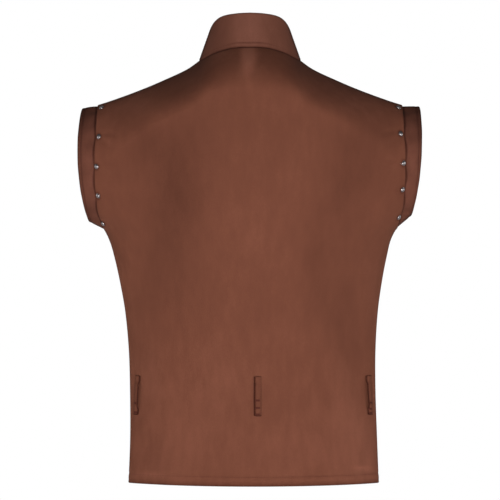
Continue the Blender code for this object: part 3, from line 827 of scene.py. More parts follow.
@dataclass(frozen=True)
class Nap:
    """The shared effect of brushed cloth: soft blotches, strokes, fibres and a faint weave."""

    blotch: float = 0.23
    stroke: float = 0.22
    fibre: float = 0.16
    weave: float = 0.12
    stroke_scale: float = 9.0
    drawn_down: float = 0.35

    def group(self) -> bpy.types.NodeTree:
        """Build the effect.

        Returns:
            A node group that puts out a mask and a height.
        """
        tree = bpy.data.node_groups.new("brushed nap", "ShaderNodeTree")
        sockets = (
            ("Place", "INPUT", "NodeSocketVector"),
            ("Cloth", "INPUT", "NodeSocketVector"),
            ("Blotch", "INPUT", "NodeSocketFloat"),
            ("Fibre", "INPUT", "NodeSocketFloat"),
            ("Weave", "INPUT", "NodeSocketFloat"),
            ("Mask", "OUTPUT", "NodeSocketFloat"),
            ("Height", "OUTPUT", "NodeSocketFloat"),
        )
        for name, direction, kind in sockets:
            tree.interface.new_socket(name=name, in_out=direction, socket_type=kind)
        graph = Graph(tree)
        given = graph.add("NodeGroupInput").outputs
        drawn = {"Vector": given["Place"], "Scale": (1.0, 1.0, self.drawn_down)}
        brushed = graph.add("ShaderNodeMapping", drawn).outputs[0]
        blotch = graph.noise(given["Place"], given["Blotch"], 2.0)
        strokes = graph.noise(brushed, graph.math("MULTIPLY", given["Blotch"], self.stroke_scale), 3.0)
        fibre = graph.noise(brushed, given["Fibre"], 2.0)
        parts = graph.add("ShaderNodeSeparateXYZ", {"Vector": given["Cloth"]}).outputs
        waves = [graph.math("SINE", graph.math("MULTIPLY", parts[axis], given["Weave"])) for axis in ("X", "Y")]
        weave = graph.math("MULTIPLY", *waves)
        coarse = graph.math("ADD", graph.centred(blotch, self.blotch), 0.5)
        fine = graph.math("ADD", graph.centred(strokes, self.stroke), graph.centred(fibre, self.fibre))
        mask = graph.math("ADD", coarse, fine, clamp=True)
        height = graph.math("ADD", fibre, graph.math("MULTIPLY", weave, self.weave))
        graph.add("NodeGroupOutput", {"Mask": mask, "Height": height})
        return tree


@dataclass(frozen=True)
class BrushedCloth:
    """A napped, suede-like cloth."""

    name: str
    # Dark, middle and light tone of the cloth, for its random nap and for the painted light and shade laid per point
    lying: Colour = (0.088, 0.0280, 0.0160)
    base: Colour = (0.176, 0.0590, 0.0340)
    raised: Colour = (0.326, 0.1180, 0.0740)
    # Painted shade: the colour that the per-point shade mark multiplies in
    crevice: Colour = (0.34, 0.25, 0.23)
    # Painted shade where the cloth turns away from view, blended in between these two facings
    painted_edge_shade: Colour = (0.38, 0.34, 0.38)
    painted_edge_shade_from: float = 0.60
    painted_edge_shade_full: float = 0.95
    sheen_tint: Colour = (0.50, 0.28, 0.20)
    sheen: float = 0.06
    sheen_roughness: float = 0.45
    roughness: float = 0.86
    specular: float = 0.12
    painted_light_share: float = 0.5
    blotch_scale: float = 9.0
    fibre_scale: float = 900.0
    thread_pitch: float = 0.0008
    bump: float = 0.35
    bump_distance: float = 0.0004

    def material(self, nap: bpy.types.NodeTree) -> bpy.types.Material:
        """Make the material.

        Args:
            nap: The shared nap effect.

        Returns:
            The material.
        """
        made, graph, shader = start_material(self.name)
        effect_inputs = {
            "Place": graph.add("ShaderNodeTexCoord").outputs["Object"],
            "Cloth": graph.add("ShaderNodeUVMap", uv_map="cloth").outputs[0],
            "Blotch": self.blotch_scale,
            "Fibre": self.fibre_scale,
            "Weave": math.tau / self.thread_pitch,
        }
        effect = graph.add("ShaderNodeGroup", effect_inputs, node_tree=nap).outputs
        # Painted light and painted shade laid per point, which lighten or darken the cloth's tone
        brushed = graph.add("ShaderNodeAttribute", attribute_name="nap").outputs["Fac"]
        # Painted shade laid per point in seams, along edges, under the body's edges and round the studs
        crevice = graph.add("ShaderNodeAttribute", attribute_name="crevice").outputs["Fac"]
        mask = graph.math("ADD", effect["Mask"], graph.math("MULTIPLY", brushed, self.painted_light_share), clamp=True)
        ramp = graph.add("ShaderNodeValToRGB", {"Fac": mask})
        stops = ramp.color_ramp.elements
        stops[0].position, stops[0].color = 0.0, opaque(self.lying)
        stops[1].position, stops[1].color = 1.0, opaque(self.raised)
        stops.new(0.5).color = opaque(self.base)
        shaded = graph.blend(crevice, ramp.outputs["Color"], opaque(self.crevice), "MULTIPLY")
        # Painted shade that darkens the cloth as it turns away from view
        away = graph.add("ShaderNodeLayerWeight", {"Blend": 0.5}).outputs["Facing"]
        reach = {0: away, 1: self.painted_edge_shade_from, 2: self.painted_edge_shade_full}
        turned = graph.add("ShaderNodeMapRange", reach, interpolation_type="SMOOTHSTEP").outputs[0]
        relief = {"Strength": self.bump, "Distance": self.bump_distance, "Height": effect["Height"]}
        graph.fill(shader, {
            "Base Color": graph.blend(turned, shaded, opaque(self.painted_edge_shade), "MULTIPLY"),
            "Normal": graph.add("ShaderNodeBump", relief).outputs["Normal"],
            "Roughness": self.roughness,
            "Specular IOR Level": self.specular,
            "Sheen Weight": self.sheen,
            "Sheen Roughness": self.sheen_roughness,
            "Sheen Tint": opaque(self.sheen_tint),
        })
        return made


@dataclass(frozen=True)
class Thread:
    """Twisted sewing thread."""

    name: str
    colour: Colour = (0.080, 0.020, 0.013)
    lighter: float = 1.5
    roughness: float = 0.75
    specular: float = 0.15
    twist_scale: float = 1600.0

    def material(self) -> bpy.types.Material:
        """Make the material.

        Returns:
            The material.
        """
        made, graph, shader = start_material(self.name)
        twist = graph.noise(graph.add("ShaderNodeTexCoord").outputs["Object"], self.twist_scale, 2.0)
        light = tuple(self.lighter * part for part in self.colour)
        graph.fill(shader, {
            "Base Color": graph.blend(twist, opaque(self.colour), opaque(light)),
            "Roughness": self.roughness,
            "Specular IOR Level": self.specular,
        })
        return made


@dataclass(frozen=True)
class Nickel:
    """Polished metal, slightly dulled by handling."""

    name: str
    colour: Colour = (0.62, 0.56, 0.56)
    dulled: Colour = (0.13, 0.115, 0.12)
    roughness: float = 0.10
    dulled_roughness: float = 0.38
    wear_scale: float = 420.0

    def material(self) -> bpy.types.Material:
        """Make the material.

        Returns:
            The material.
        """
        made, graph, shader = start_material(self.name)
        wear = graph.noise(graph.add("ShaderNodeTexCoord").outputs["Object"], self.wear_scale, 4.0)
        rough = graph.add("ShaderNodeMapRange", {0: wear, 3: self.roughness, 4: self.dulled_roughness})
        graph.fill(shader, {
            "Base Color": graph.blend(wear, opaque(self.colour), opaque(self.dulled)),
            "Roughness": rough.outputs[0],
            "Metallic": 1.0,
        })
        return made


def add_object(name: str, data: bpy.types.ID) -> bpy.types.Object:
    """Put a mesh, lamp or camera in the scene.

    Args:
        name: The object's name.
        data: What it shows.

    Returns:
        The object.
    """
    made = bpy.data.objects.new(name, data)
    bpy.context.collection.objects.link(made)
    return made


def add_mesh(name: str, points: Array, faces: list, uv: Array | None, marks: dict[str, Array]) -> bpy.types.Object:
    """Put a mesh in the scene.

    Args:
        name: The piece's name.
        points: Its points.
        faces: Its faces, as point numbers.
        uv: Places on the flat cloth for each point, or nothing.
        marks: Named values for each point.

    Returns:
        The object.
    """
    mesh = bpy.data.meshes.new(name)
    mesh.from_pydata(points.tolist(), [], faces)
    if uv is not None:
        corners = np.empty(len(mesh.loops), dtype=np.int64)
        mesh.loops.foreach_get("vertex_index", corners)
        layer = mesh.uv_layers.new(name="cloth")
        layer.data.foreach_set("uv", uv[corners].astype(np.float32).ravel())
    for mark, values in marks.items():
        attribute = mesh.attributes.new(mark, "FLOAT", "POINT")
        attribute.data.foreach_set("value", values.astype(np.float32))
    mesh.shade_smooth()
    mesh.validate()
    return add_object(name, mesh)


def cloth_shell(
    name: str, grid: ClothGrid, inner: Array, uv: Array, marks: dict[str, Array], sewn: Array | None = None
) -> bpy.types.Object:
    """Close a cloth piece from its outer and inner side. Its free edges are rounded and its sewn ones are square.

    Args:
        name: The piece's name.
        grid: The outer side.
        inner: The inner side's points, in the same rows and columns.
        uv: Places on the flat cloth.
        marks: Named values for each point of the outer side.
        sewn: Whether each point is on a sewn edge, or nothing where all edges are free.

    Returns:
        The object.
    """
    outer, inner = grid.points.reshape(-1, 3), inner.reshape(-1, 3)
    count = len(outer)
    front = grid.quads()
    faces = [front, front[:, ::-1] + count]
    points = [outer, inner]
    source = [np.arange(count), np.arange(count)]
    start = 2 * count
    for border, inside in grid.borders():
        over, under = outer[border], inner[border]
        thick = np.linalg.norm(over - under, axis=1, keepdims=True)
        if sewn is not None:
            thick = np.where(sewn.reshape(-1)[border][:, None], 0.0, thick)
        points.append((over + under) / 2 + unit(over - outer[inside]) * thick * RIM_ROUNDNESS)
        source.append(border)
        rim = start + np.arange(len(border))
        next_border, next_rim = np.roll(border, -1), np.roll(rim, -1)
        faces.append(np.stack([border, next_border, next_rim, rim], axis=-1))
        faces.append(np.stack([rim, next_rim, next_border + count, border + count], axis=-1))
        start += len(border)
    source = np.concatenate(source)
    spread = {mark: values.reshape(-1)[source] for mark, values in marks.items()}
    all_faces = np.concatenate(faces).tolist()
    return add_mesh(name, np.concatenate(points), all_faces, uv.reshape(-1, 2)[source], spread)


def dress(piece: bpy.types.Object, material: bpy.types.Material, slot: Slot, *nodes: str) -> None:
    """Give a piece its finish, its body and the solids that it stands for.

    Args:
        piece: The piece.
        material: Its finish.
        slot: Not used.
        *nodes: The solids that it replaces.
    """
    piece.data.materials.append(material)
    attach(piece, ROOT)
    if nodes:
        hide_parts(*nodes)


def start_shape(add: Callable, **sizes: object) -> bpy.types.Object:
    """Add one of Blender's own shapes and open all of it for editing.

    Args:
        add: The operator that adds it.
        **sizes: The operator's settings.

    Returns:
        The object.
    """
    bpy.ops.object.select_all(action="DESELECT")
    add(**sizes)
    bpy.ops.object.mode_set(mode="EDIT")
    bpy.ops.mesh.select_all(action="SELECT")
    return bpy.context.object


def resize(*value: float) -> None:
    """Resize the selected points about the origin."""
    bpy.ops.transform.resize(value=value, center_override=(0, 0, 0))


@dataclass(frozen=True)
class Machine:
    """A sewing machine's settings: it lays stitches along lines on the cloth."""

    pitch: float = 0.0034
    length: float = 0.0027
    thickness: float = 0.00042
    widening: float = 1.25
    end_dip: float = 0.9
    sink: float = 0.00012
    sides: int = 5
    rings: int = 4

    def stitch(self) -> tuple[Array, list[tuple[int, ...]]]:
        """Model one stitch, a short thread lying along X with its ends drawn down.

        Returns:
            Its points and faces.
        """
        sizes = {"segments": self.sides, "ring_count": self.rings, "radius": 1.0}
        made = start_shape(bpy.ops.mesh.primitive_uv_sphere_add, **sizes)
        bpy.ops.transform.rotate(value=math.radians(90), orient_axis="Y", center_override=(0, 0, 0))
        half = self.thickness / 2
        resize(self.length / 2, half * self.widening, half)
        bpy.ops.object.mode_set(mode="OBJECT")
        points = np.array([point.co[:] for point in made.data.vertices])
        faces = [tuple(face.vertices) for face in made.data.polygons]
        points[:, 2] -= self.thickness * (2 * points[:, 0] / self.length) ** 2 * self.end_dip
        bpy.data.objects.remove(made, do_unlink=True)
        return points, faces

    def spaced(self, line: Array, ups: Array) -> tuple[Array, Array, Array]:
        """Space stitches evenly along a line.

        Args:
            line: The line's points.
            ups: Outward directions of the points.

        Returns:
            The stitches' middles, their directions along the line and their outward directions.
        """
        steps = np.linalg.norm(np.diff(line, axis=0), axis=1)
        run = np.concatenate([[0.0], np.cumsum(steps)])
        count = max(int(run[-1] / self.pitch), 1)
        at = (np.arange(count) + 0.5) * run[-1] / count
        ahead, behind = (read_along(run, line, at + shift) for shift in (self.length / 4, -self.length / 4))
        up = unit(read_along(run, ups, at))
        along = ahead - behind
        along = unit(along - up * np.sum(along * up, axis=1, keepdims=True))
        return read_along(run, line, at), along, up

    def sew(self, name: str, lines: Threads) -> bpy.types.Object:
        """Lay stitches along lines, all in one piece.

        Args:
            name: The piece's name.
            lines: Each line's points and outward directions.

        Returns:
            The object.
        """
        shape, shape_faces = self.stitch()
        points, faces = [], []
        for line, ups in lines:
            middle, along, up = self.spaced(line, ups)
            axes = np.stack([along, np.cross(up, along), up], axis=1)
            placed = (middle + up * self.sink)[:, None] + np.einsum("pa,sax->spx", shape, axes)
            for stitch in placed:
                shift = len(shape) * len(points)
                faces += [tuple(shift + v for v in face) for face in shape_faces]
                points.append(stitch)
        return add_mesh(name, np.concatenate(points), faces, None, {})


@dataclass
class Panel:
    """The back or one front: a panel of cloth from its top edge to its hem."""

    name: str
    face: Face
    form: BodyForm
    folds: Sequence[Crease]
    creases: Sequence[Crease]
    painted_light_patches: Sequence[PaintedLightPatch] = ()
    side: Side | None = None
    flat: tuple[float, float] = (0.60, 0.72)
    area: float = 0.345
    # How fine its grid is
    armhole_rows: int = 76
    skirt_rows: int = 112
    neck_columns: int = 26
    shoulder_columns: int = 58
    lap_columns: int = 4
    crowding: float = 1.25
    # How the left front lies over the right one
    lap: float = 0.012
    lap_step: float = 0.0027
    lap_start: float = 0.036
    lap_end: float = 0.015
    # Where folds and creases run out
    fold_free: float = 0.86
    crease_free: float = 0.985
    crease_below: float = 0.014
    fold_taper: float = 0.35
    crease_taper: float = 0.45
    # How the panels meet at their seams, overlapping a little so that no light shows through
    seam_overlap: float = 0.0002
    seam_reach: float = 0.0045
    seam_blend: float = 0.05
    neck_reach: float = 0.012
    shoulder_way: tuple[float, float] = (0.38, 0.92)
    side_blend: float = 0.1
    side_start: float = 0.030
    # How the armhole edge stands off its band between the studs
    edge_lift: float = 0.0020
    edge_reach: float = 0.012
    edge_ease: float = 0.35
    stud_hold: float = 0.011
    # What sinks into the cloth
    seam_dip: Line = Line(0.0, 0.0024, 0.0010)
    hem_dip: Line = Line(0.013, 0.0016, 0.00035)
    edge_dip: Line = Line(0.0032, 0.0009, 0.00028)
    hem_puckers: Line = Line(0.010, 0.007, 0.00022)
    pucker_waves: tuple[float, float] = (470.0, 151.0)
    pucker_shift: float = 0.7
    pucker_sway: float = 2.1
    sway_waves: float = 83.0
    hem_raise: float = 0.0003
    hem_ease: float = 0.004
    # Painted shade: in its seams, along its hem and edges, a painted shadow along the armhole edge between the
    # studs, and round the studs
    seam_shade: Line = Line(0.0, 0.0016, 0.75)
    side_shade: Line = Line(0.0, 0.0016, 0.80)
    hem_shade: Line = Line(0.013, 0.0016, 0.12)
    edge_shade: Line = Line(0.0032, 0.0009, 0.28)
    rim_shade: Line = Line(0.0, 0.0010, 0.65)
    armhole_shade: Line = Line(0.0, 0.0011, 0.70)
    beside_shade: Line = Line(0.0065, 0.0011, 0.16)
    beside_height: float = 0.11
    beside_fade: float = 0.05
    held_shade: float = 0.6
    stud_shade: float = 0.75
    stud_reach: float = 0.0060
    # Worked out by shape
    turns: Array = field(init=False)
    shares: Array = field(init=False)
    grid: ClothGrid = field(init=False)
    inner: Array = field(init=False)
    uv: Array = field(init=False)
    marks: dict[str, Array] = field(init=False)
    sewn: Array = field(init=False)
    to_hem: Array = field(init=False)
    to_top: Array = field(init=False)
    to_edge: Array = field(init=False)

    def rows(self) -> tuple[Array, Array]:
        """Choose the rows, close together near the top edge.

        Returns:
            Each row's turn down the armhole and its distance below the underarm.
        """
        share = np.linspace(0, 1, self.armhole_rows + 1)
        turns = np.arccos(np.clip(1 - 2 * (1 - np.cos(math.pi / 2 * share)), -1, 1))
        turns[-1] = math.pi
        skirt = (self.form.underarm_z - self.form.hem_z) * np.linspace(0, 1, self.skirt_rows + 1)[1:]
        turns = np.concatenate([turns, np.full(self.skirt_rows, math.pi)])
        return turns, np.concatenate([np.zeros(self.armhole_rows + 1), skirt])

    def columns(self, below: Array) -> Array:
        """Choose the columns of every row.

        Args:
            below: The rows' distances below the underarm.

        Returns:
            Shares of the half width, a row for each row.
        """
        neck = np.linspace(0, self.form.neck_share, self.neck_columns + 1)
        out = 1 - (1 - np.linspace(0, 1, self.shoulder_columns + 1)[1:]) ** self.crowding
        half = np.concatenate([neck, mix(self.form.neck_share, 1.0, out)])
        if self.face is Face.BACK:
            return np.tile(np.concatenate([-half[:0:-1], half]), (len(below), 1))
        probe = np.tile(np.array([-self.lap, self.lap]), (len(below), 1))
        found = self.form.surface(self.face, probe, self.turns, below)[..., 0]
        lap_share = 2 * self.lap**2 / (found[:, 1] - found[:, 0])
        lap = -lap_share[:, None] * np.linspace(1, 0, self.lap_columns + 1)[None, :-1]
        columns = np.concatenate([lap, np.tile(half, (len(below), 1))], axis=1)
        return columns if self.side is Side.LEFT else -columns[:, ::-1]

    def shape(self) -> None:
        """Work out the outer side with its folds, creases, seams and hem."""
        self.turns, below = self.rows()
        self.shares = self.columns(below)
        plain = self.form.surface(self.face, self.shares, self.turns, below)
        x, z = plain[..., 0], plain[..., 2]
        self.to_top = run_along(plain, 0)
        self.to_hem = self.to_top[-1:] - self.to_top
        run = run_along(plain, 1)
        from_left = run[:, -1:] - run
        if self.face is Face.BACK:
            self.to_edge = np.minimum(run, from_left)
        else:
            self.to_edge = from_left if self.side is Side.LEFT else run
        held = self.held(x, z)
        sink = self.creased(x, z) - self.armhole_lift(held)
        cloth = plain - grid_normals(plain, self.face.value) * sink[..., None]
        if self.side is Side.RIGHT:
            cloth = self.step_under(cloth, below)
        self.sewn = self.seam_points()
        drawn = self.sewn & (np.abs(self.shares) > self.form.neck_share - TINY)
        cloth[..., 1] -= np.where(drawn, self.face.value * self.seam_overlap / 2, 0.0)
        own = grid_normals(cloth, self.face.value)
        at_neck = self.form.outward(self.face, x, z)
        normals = self.share_seams(own, at_neck)
        relief = self.relief(x)
        self.grid = ClothGrid(cloth + normals * relief[..., None], self.face.value)
        self.inner = cloth - normals * self.form.cloth
        self.uv = np.stack([run - run[:, run.shape[1] // 2, None], self.to_hem], axis=-1)
        # Painted light and painted shade in soft patches
        nap = sum((patch.over(x, z) for patch in self.painted_light_patches), np.zeros_like(x))
        self.marks = {"nap": np.clip(nap, -1, 1), "crevice": self.crevice(held)}

    def creased(self, x: Array, z: Array) -> Array:
        """Find how far folds and creases sink the cloth.

        Args:
            x: Places across.
            z: Heights.

        Returns:
            The depth at each point.
        """
        out = np.abs(self.shares)
        folds = crease_depth(self.folds, x, z, self.fold_taper)
        folds = folds * (1 - smooth_step(out, self.fold_free, 1 - self.fold_free))
        creases = crease_depth(self.creases, x, z, self.crease_taper)
        creases = creases * (1 - smooth_step(out, self.crease_free, 1 - self.crease_free))
        return folds + creases * smooth_step(self.to_top, 0, self.crease_below)

    def held(self, x: Array, z: Array) -> Array:
        """Find where studs hold the armhole edges down.

        Args:
            x: Places across.
            z: Heights.

        Returns:
            How firmly each point is held, from 0 to 1.
        """
        total = np.zeros_like(z)
        for side in Side:
            for pair in STUD_TURNS:
                height = mix(self.form.shoulder_z, self.form.underarm_z, (1 - math.cos(pair.at(side))) / 2)
                near = bell(z - height, self.stud_hold)
                total = np.maximum(total, np.where(x * side.value > 0, near, 0.0))
        return total

    def armhole_lift(self, held: Array) -> Array:
        """Find how far the armhole edge stands off its band between the studs."""
        inside = smooth_step(np.sin(np.minimum(self.turns, math.pi)), 0, self.edge_ease)[:, None]
        return self.edge_lift * (1 - held) * bell(self.to_edge, self.edge_reach) * inside

    def step_under(self, cloth: Array, below: Array) -> Array:
        """Sink the right front's edge under the left front.

        Args:
            cloth: The panel's points.
            below: The rows' distances below the underarm.

        Returns:
            The sunk points.
        """
        middle = self.form.surface(self.face, np.zeros((len(below), 1)), self.turns, below)[..., 0]
        cloth = cloth.copy()
        reach = self.lap_start - self.lap_end
        cloth[..., 1] += self.lap_step * smooth_step(cloth[..., 0] - middle, -self.lap_start, reach)
        return cloth

    def seam_points(self) -> Array:
        """Find whether each point is on the neck, shoulder or side seam."""
        on_side = (self.turns[:, None] > math.pi - TINY) & (np.abs(self.shares) > 1 - TINY)
        return on_side | (np.arange(len(self.turns))[:, None] == 0)

    def share_seams(self, normals: Array, at_neck: Array) -> Array:
        """Turn the outward directions at the shoulder and side seams so that both panels have the same ones.

        Args:
            normals: The panel's own directions.
            at_neck: The form's own directions, which are even beside the neck.

        Returns:
            The turned directions.
        """
        side, level = np.sign(self.shares), np.zeros_like(self.shares)
        out, neck_share = np.abs(self.shares), self.form.neck_share
        near = (1 - smooth_step(out, neck_share, self.seam_blend)) * bell(self.to_top, self.neck_reach)
        normals = unit(mix(normals, at_neck, near[..., None]))
        near = smooth_step(out, neck_share - self.seam_blend, self.seam_blend) * bell(self.to_top, self.seam_reach)
        over = np.stack([self.shoulder_way[0] * side, level, level + self.shoulder_way[1]], axis=-1)
        normals = unit(mix(normals, over, near[..., None]))
        on_side = smooth_step(self.turns / math.pi, 1 - self.side_blend, self.side_blend)[:, None]
        near = on_side * bell(self.to_edge, self.seam_reach)
        return unit(mix(normals, np.stack([side, level, level], axis=-1), near[..., None]))

    def side_seam(self) -> Array:
        """Find the side seam's strength at each point. It starts softly below the underarm."""
        first = int(np.argmax(self.turns > math.pi - TINY))
        return smooth_step(self.to_top, self.to_top[first], self.side_start)

    def relief(self, x: Array) -> Array:
        """Work out what stands out of the cloth's outer side or into it.

        Args:
            x: Places across.

        Returns:
            The relief of each point.
        """
        seam = np.maximum(self.seam_dip.over(self.to_top), self.side_seam() * self.seam_dip.over(self.to_edge))
        hem = self.hem_dip.over(self.to_hem) + self.edge_dip.over(self.to_hem)
        turned = self.hem_raise * smooth_step(-self.to_hem, -self.hem_dip.inset, self.hem_ease)
        close, wide = self.pucker_waves
        waves = np.sin(x * close + self.pucker_sway * np.sin(x * self.sway_waves))
        waves = waves * np.sin(x * wide + self.pucker_shift)
        return turned + waves * self.hem_puckers.over(self.to_hem) - seam - hem

    def crevice(self, held: Array) -> Array:
        """Lay painted shade in the cloth's seams, along its edges, in stitched lines and round its studs.

        Args:
            held: How firmly the studs hold each point.

        Returns:
            How dark each point is, from 0 to 1.
        """
        inside = np.sin(np.minimum(self.turns, math.pi))[:, None] ** 0.5
        high = smooth_step(-self.to_hem, -self.beside_height, self.beside_fade)
        shades = [
            self.seam_shade.over(self.to_top),
            self.side_seam() * self.side_shade.over(self.to_edge),
            self.hem_shade.over(self.to_hem) + self.edge_shade.over(self.to_hem),
            self.rim_shade.over(self.to_hem),
            # Painted shadow along the armhole edge, lighter where the studs hold it down
            inside * self.armhole_shade.over(self.to_edge) * (1 - self.held_shade * held),
            high * self.beside_shade.over(self.to_edge),
        ]
        # Painted shade in a dark ring round each stud
        for node in stud_nodes(Side.LEFT) + stud_nodes(Side.RIGHT):
            near = np.linalg.norm(self.grid.points - box_centre(node), axis=-1)
            shades.append(self.stud_shade * bell(near, self.stud_reach, 4))
        return np.clip(np.maximum.reduce(shades), 0, 1)

    def build(self, material: bpy.types.Material) -> None:
        """Make and dress the panel.

        Args:
            material: Its cloth.
        """
        self.shape()
        piece = cloth_shell(self.name + "_cloth", self.grid, self.inner, self.uv, self.marks, self.sewn)
        dress(piece, material, Slot.CLOTH, self.name)

    def hem_line(self) -> tuple[Array, Array]:
        """The line that the hem is stitched along."""
        return self.grid.trace_down(self.to_hem, self.hem_dip.inset)

    def tree(self) -> BVHTree:
        """The outer side's facets, to seat what lies on it."""
        index = self.grid.index()
        quads = np.stack([index[:-1, :-1], index[:-1, 1:], index[1:, 1:], index[1:, :-1]], axis=-1)
        return BVHTree.FromPolygons(self.grid.points.reshape(-1, 3).tolist(), quads.reshape(-1, 4).tolist())


@dataclass
class Collar:
    """The stand collar, one folded strip with its ends meeting at the centre front."""

    form: BodyForm
    back_columns: int = 60
    front_columns: int = 60
    rows: int = 30
    lift: float = 0.0003
    end_gap: float = 0.0008
    crease_taper: float = 0.45
    # The allowance under the body's neck edge
    under: float = 0.0026
    tail_start: float = 0.001
    tail: float = 0.006
    tail_thickness: float = 0.0010
    tail_turn: float = 0.36
    shoulder_way: tuple[float, float] = (0.90, -0.42)
    shoulder_turn: float = math.radians(18)
    # What sinks into the cloth
    seam_dip: Line = Line(0.0, 0.0018, 0.0007)
    stitch_dip: Line = Line(0.0068, 0.0013, 0.00055)
    top_dip: Line = Line(0.0, 0.0016, 0.0005)
    middle: float = 0.034
    beside_middle: float = 0.4
    # Painted shade in its seam, stitch line and top rim and at its sides, and painted light at the centre back with
    # painted shade beside it
    seam_shade: float = 0.7
    stitch_shade: float = 0.5
    rim_shade: Line = Line(0.0, 0.0011, 0.45)
    outline_shade: Line = Line(math.radians(93), math.radians(19), 0.90)
    outline_painted_shade: Line = Line(math.radians(90), math.radians(17), -0.35)
    middle_painted_light: Line = Line(0.0, 0.030, 0.30)
    left_nap: Line = Line(0.052, 0.020, -0.30)
    # Worked out by build
    grid: ClothGrid = field(init=False)
    to_seam: Array = field(init=False)

    def allowance(self, turns: Array) -> tuple[Array, Array]:
        """Turn the seam allowance down under the body's neck edge, where it hides.

        Args:
            turns: Turns from the centre back.

        Returns:
            The outer and the inner side of the allowance, two rows each.
        """
        point, share = self.form.neck_point_turn, self.form.neck_share
        turn = np.abs(turns)
        side = np.where(turns < 0, -1.0, 1.0)
        on_back = turn <= point
        shares = side * share * np.where(on_back, turn / point, (math.pi - turn) / (math.pi - point))
        edge = self.form.neck_edge(turns)
        rows, still = np.array([self.tail_turn]), np.zeros(1)
        below_back = self.form.surface(Face.BACK, shares[None], rows, still)[0]
        below_front = self.form.surface(Face.FRONT, shares[None], rows, still)[0]
        down = unit(np.where(on_back[:, None], below_back, below_front) - edge)
        out, sunk = self.shoulder_way
        shoulder = np.stack([out * side, 0 * side, 0 * side + sunk], axis=-1)
        near = bell(turn - point, self.shoulder_turn)
        down = unit(mix(down, shoulder, near[:, None]))
        inward = unit(np.cross(down, np.gradient(edge, axis=0)))
        outer = [edge + inward * self.under + down * length for length in (self.tail_start, self.tail)]
        inner = [row + inward * self.tail_thickness for row in outer]
        return np.array(outer), np.array(inner)

    def build(self, material: bpy.types.Material) -> None:
        """Make and dress the collar.

        Args:
            material: Its cloth.
        """
        point = self.form.neck_point_turn
        back = np.linspace(0, point, self.back_columns + 1)
        half = np.concatenate([back, np.linspace(point, math.pi, self.front_columns + 1)[1:]])
        turns = np.concatenate([-half[:0:-1], half])
        share = np.linspace(0, 1, self.rows + 1)[:, None, None]
        plain = mix(self.form.collar_edge(turns)[None], self.form.neck_edge(turns)[None], share)
        normals = grid_normals(plain, 1)
        run, down = run_along(plain, 1), run_along(plain, 0)
        self.to_seam = down[-1:] - down
        across = run - run[:, -1:] / 2
        middle = bell(across, self.middle, 4)
        stitches = self.stitch_dip.over(self.to_seam)
        sink = crease_depth(COLLAR_CREASES, across, -down, self.crease_taper) + self.seam_dip.over(self.to_seam)
        sink += stitches * mix(self.beside_middle, 1.0, middle) + self.top_dip.over(down)
        cloth = plain.copy()
        cloth[-1, :, 2] += self.lift
        cloth[:, 0, 0] -= self.end_gap / 2
        cloth[:, -1, 0] += self.end_gap / 2
        # Painted shade in the neck seam, along the stitch line, at the top rim and at the sides
        dark = np.maximum.reduce([
            self.seam_shade * bell(self.to_seam, self.seam_dip.width),
            self.stitch_shade * stitches / self.stitch_dip.strength * middle,
            self.rim_shade.over(down),
            self.outline_shade.over(np.abs(turns))[None] + 0 * down,
        ])
        # Painted light at the centre back and painted shade beside it and at the sides
        nap = self.middle_painted_light.over(across) + self.left_nap.over(across) + self.outline_painted_shade.over(np.abs(turns))
        under_outer, under_inner = self.allowance(turns)
        inner = np.concatenate([cloth - normals * self.form.cloth, under_inner])
        self.grid = ClothGrid(np.concatenate([cloth - normals * sink[..., None], under_outer]), 1)
        # The hidden allowance is laid in full painted shade
        hidden = np.ones_like(run[:2])
        self.to_seam = np.concatenate([self.to_seam, -hidden])
        run = np.concatenate([run, run[-1:], run[-1:]])
        uv = np.stack([run - run[:, -1:] / 2, self.to_seam], axis=-1)
        crevice = np.clip(np.concatenate([dark, hidden]), 0, 1)
        marks = {"nap": np.concatenate([nap, 0 * hidden]), "crevice": crevice}
        piece = cloth_shell("collar_cloth", self.grid, inner, uv, marks)
        dress(piece, material, Slot.CLOTH, "collar")

    def stitch_line(self) -> tuple[Array, Array]:
        """The line of stitches above the neck seam."""
        return self.grid.trace_down(self.to_seam, self.stitch_dip.inset)


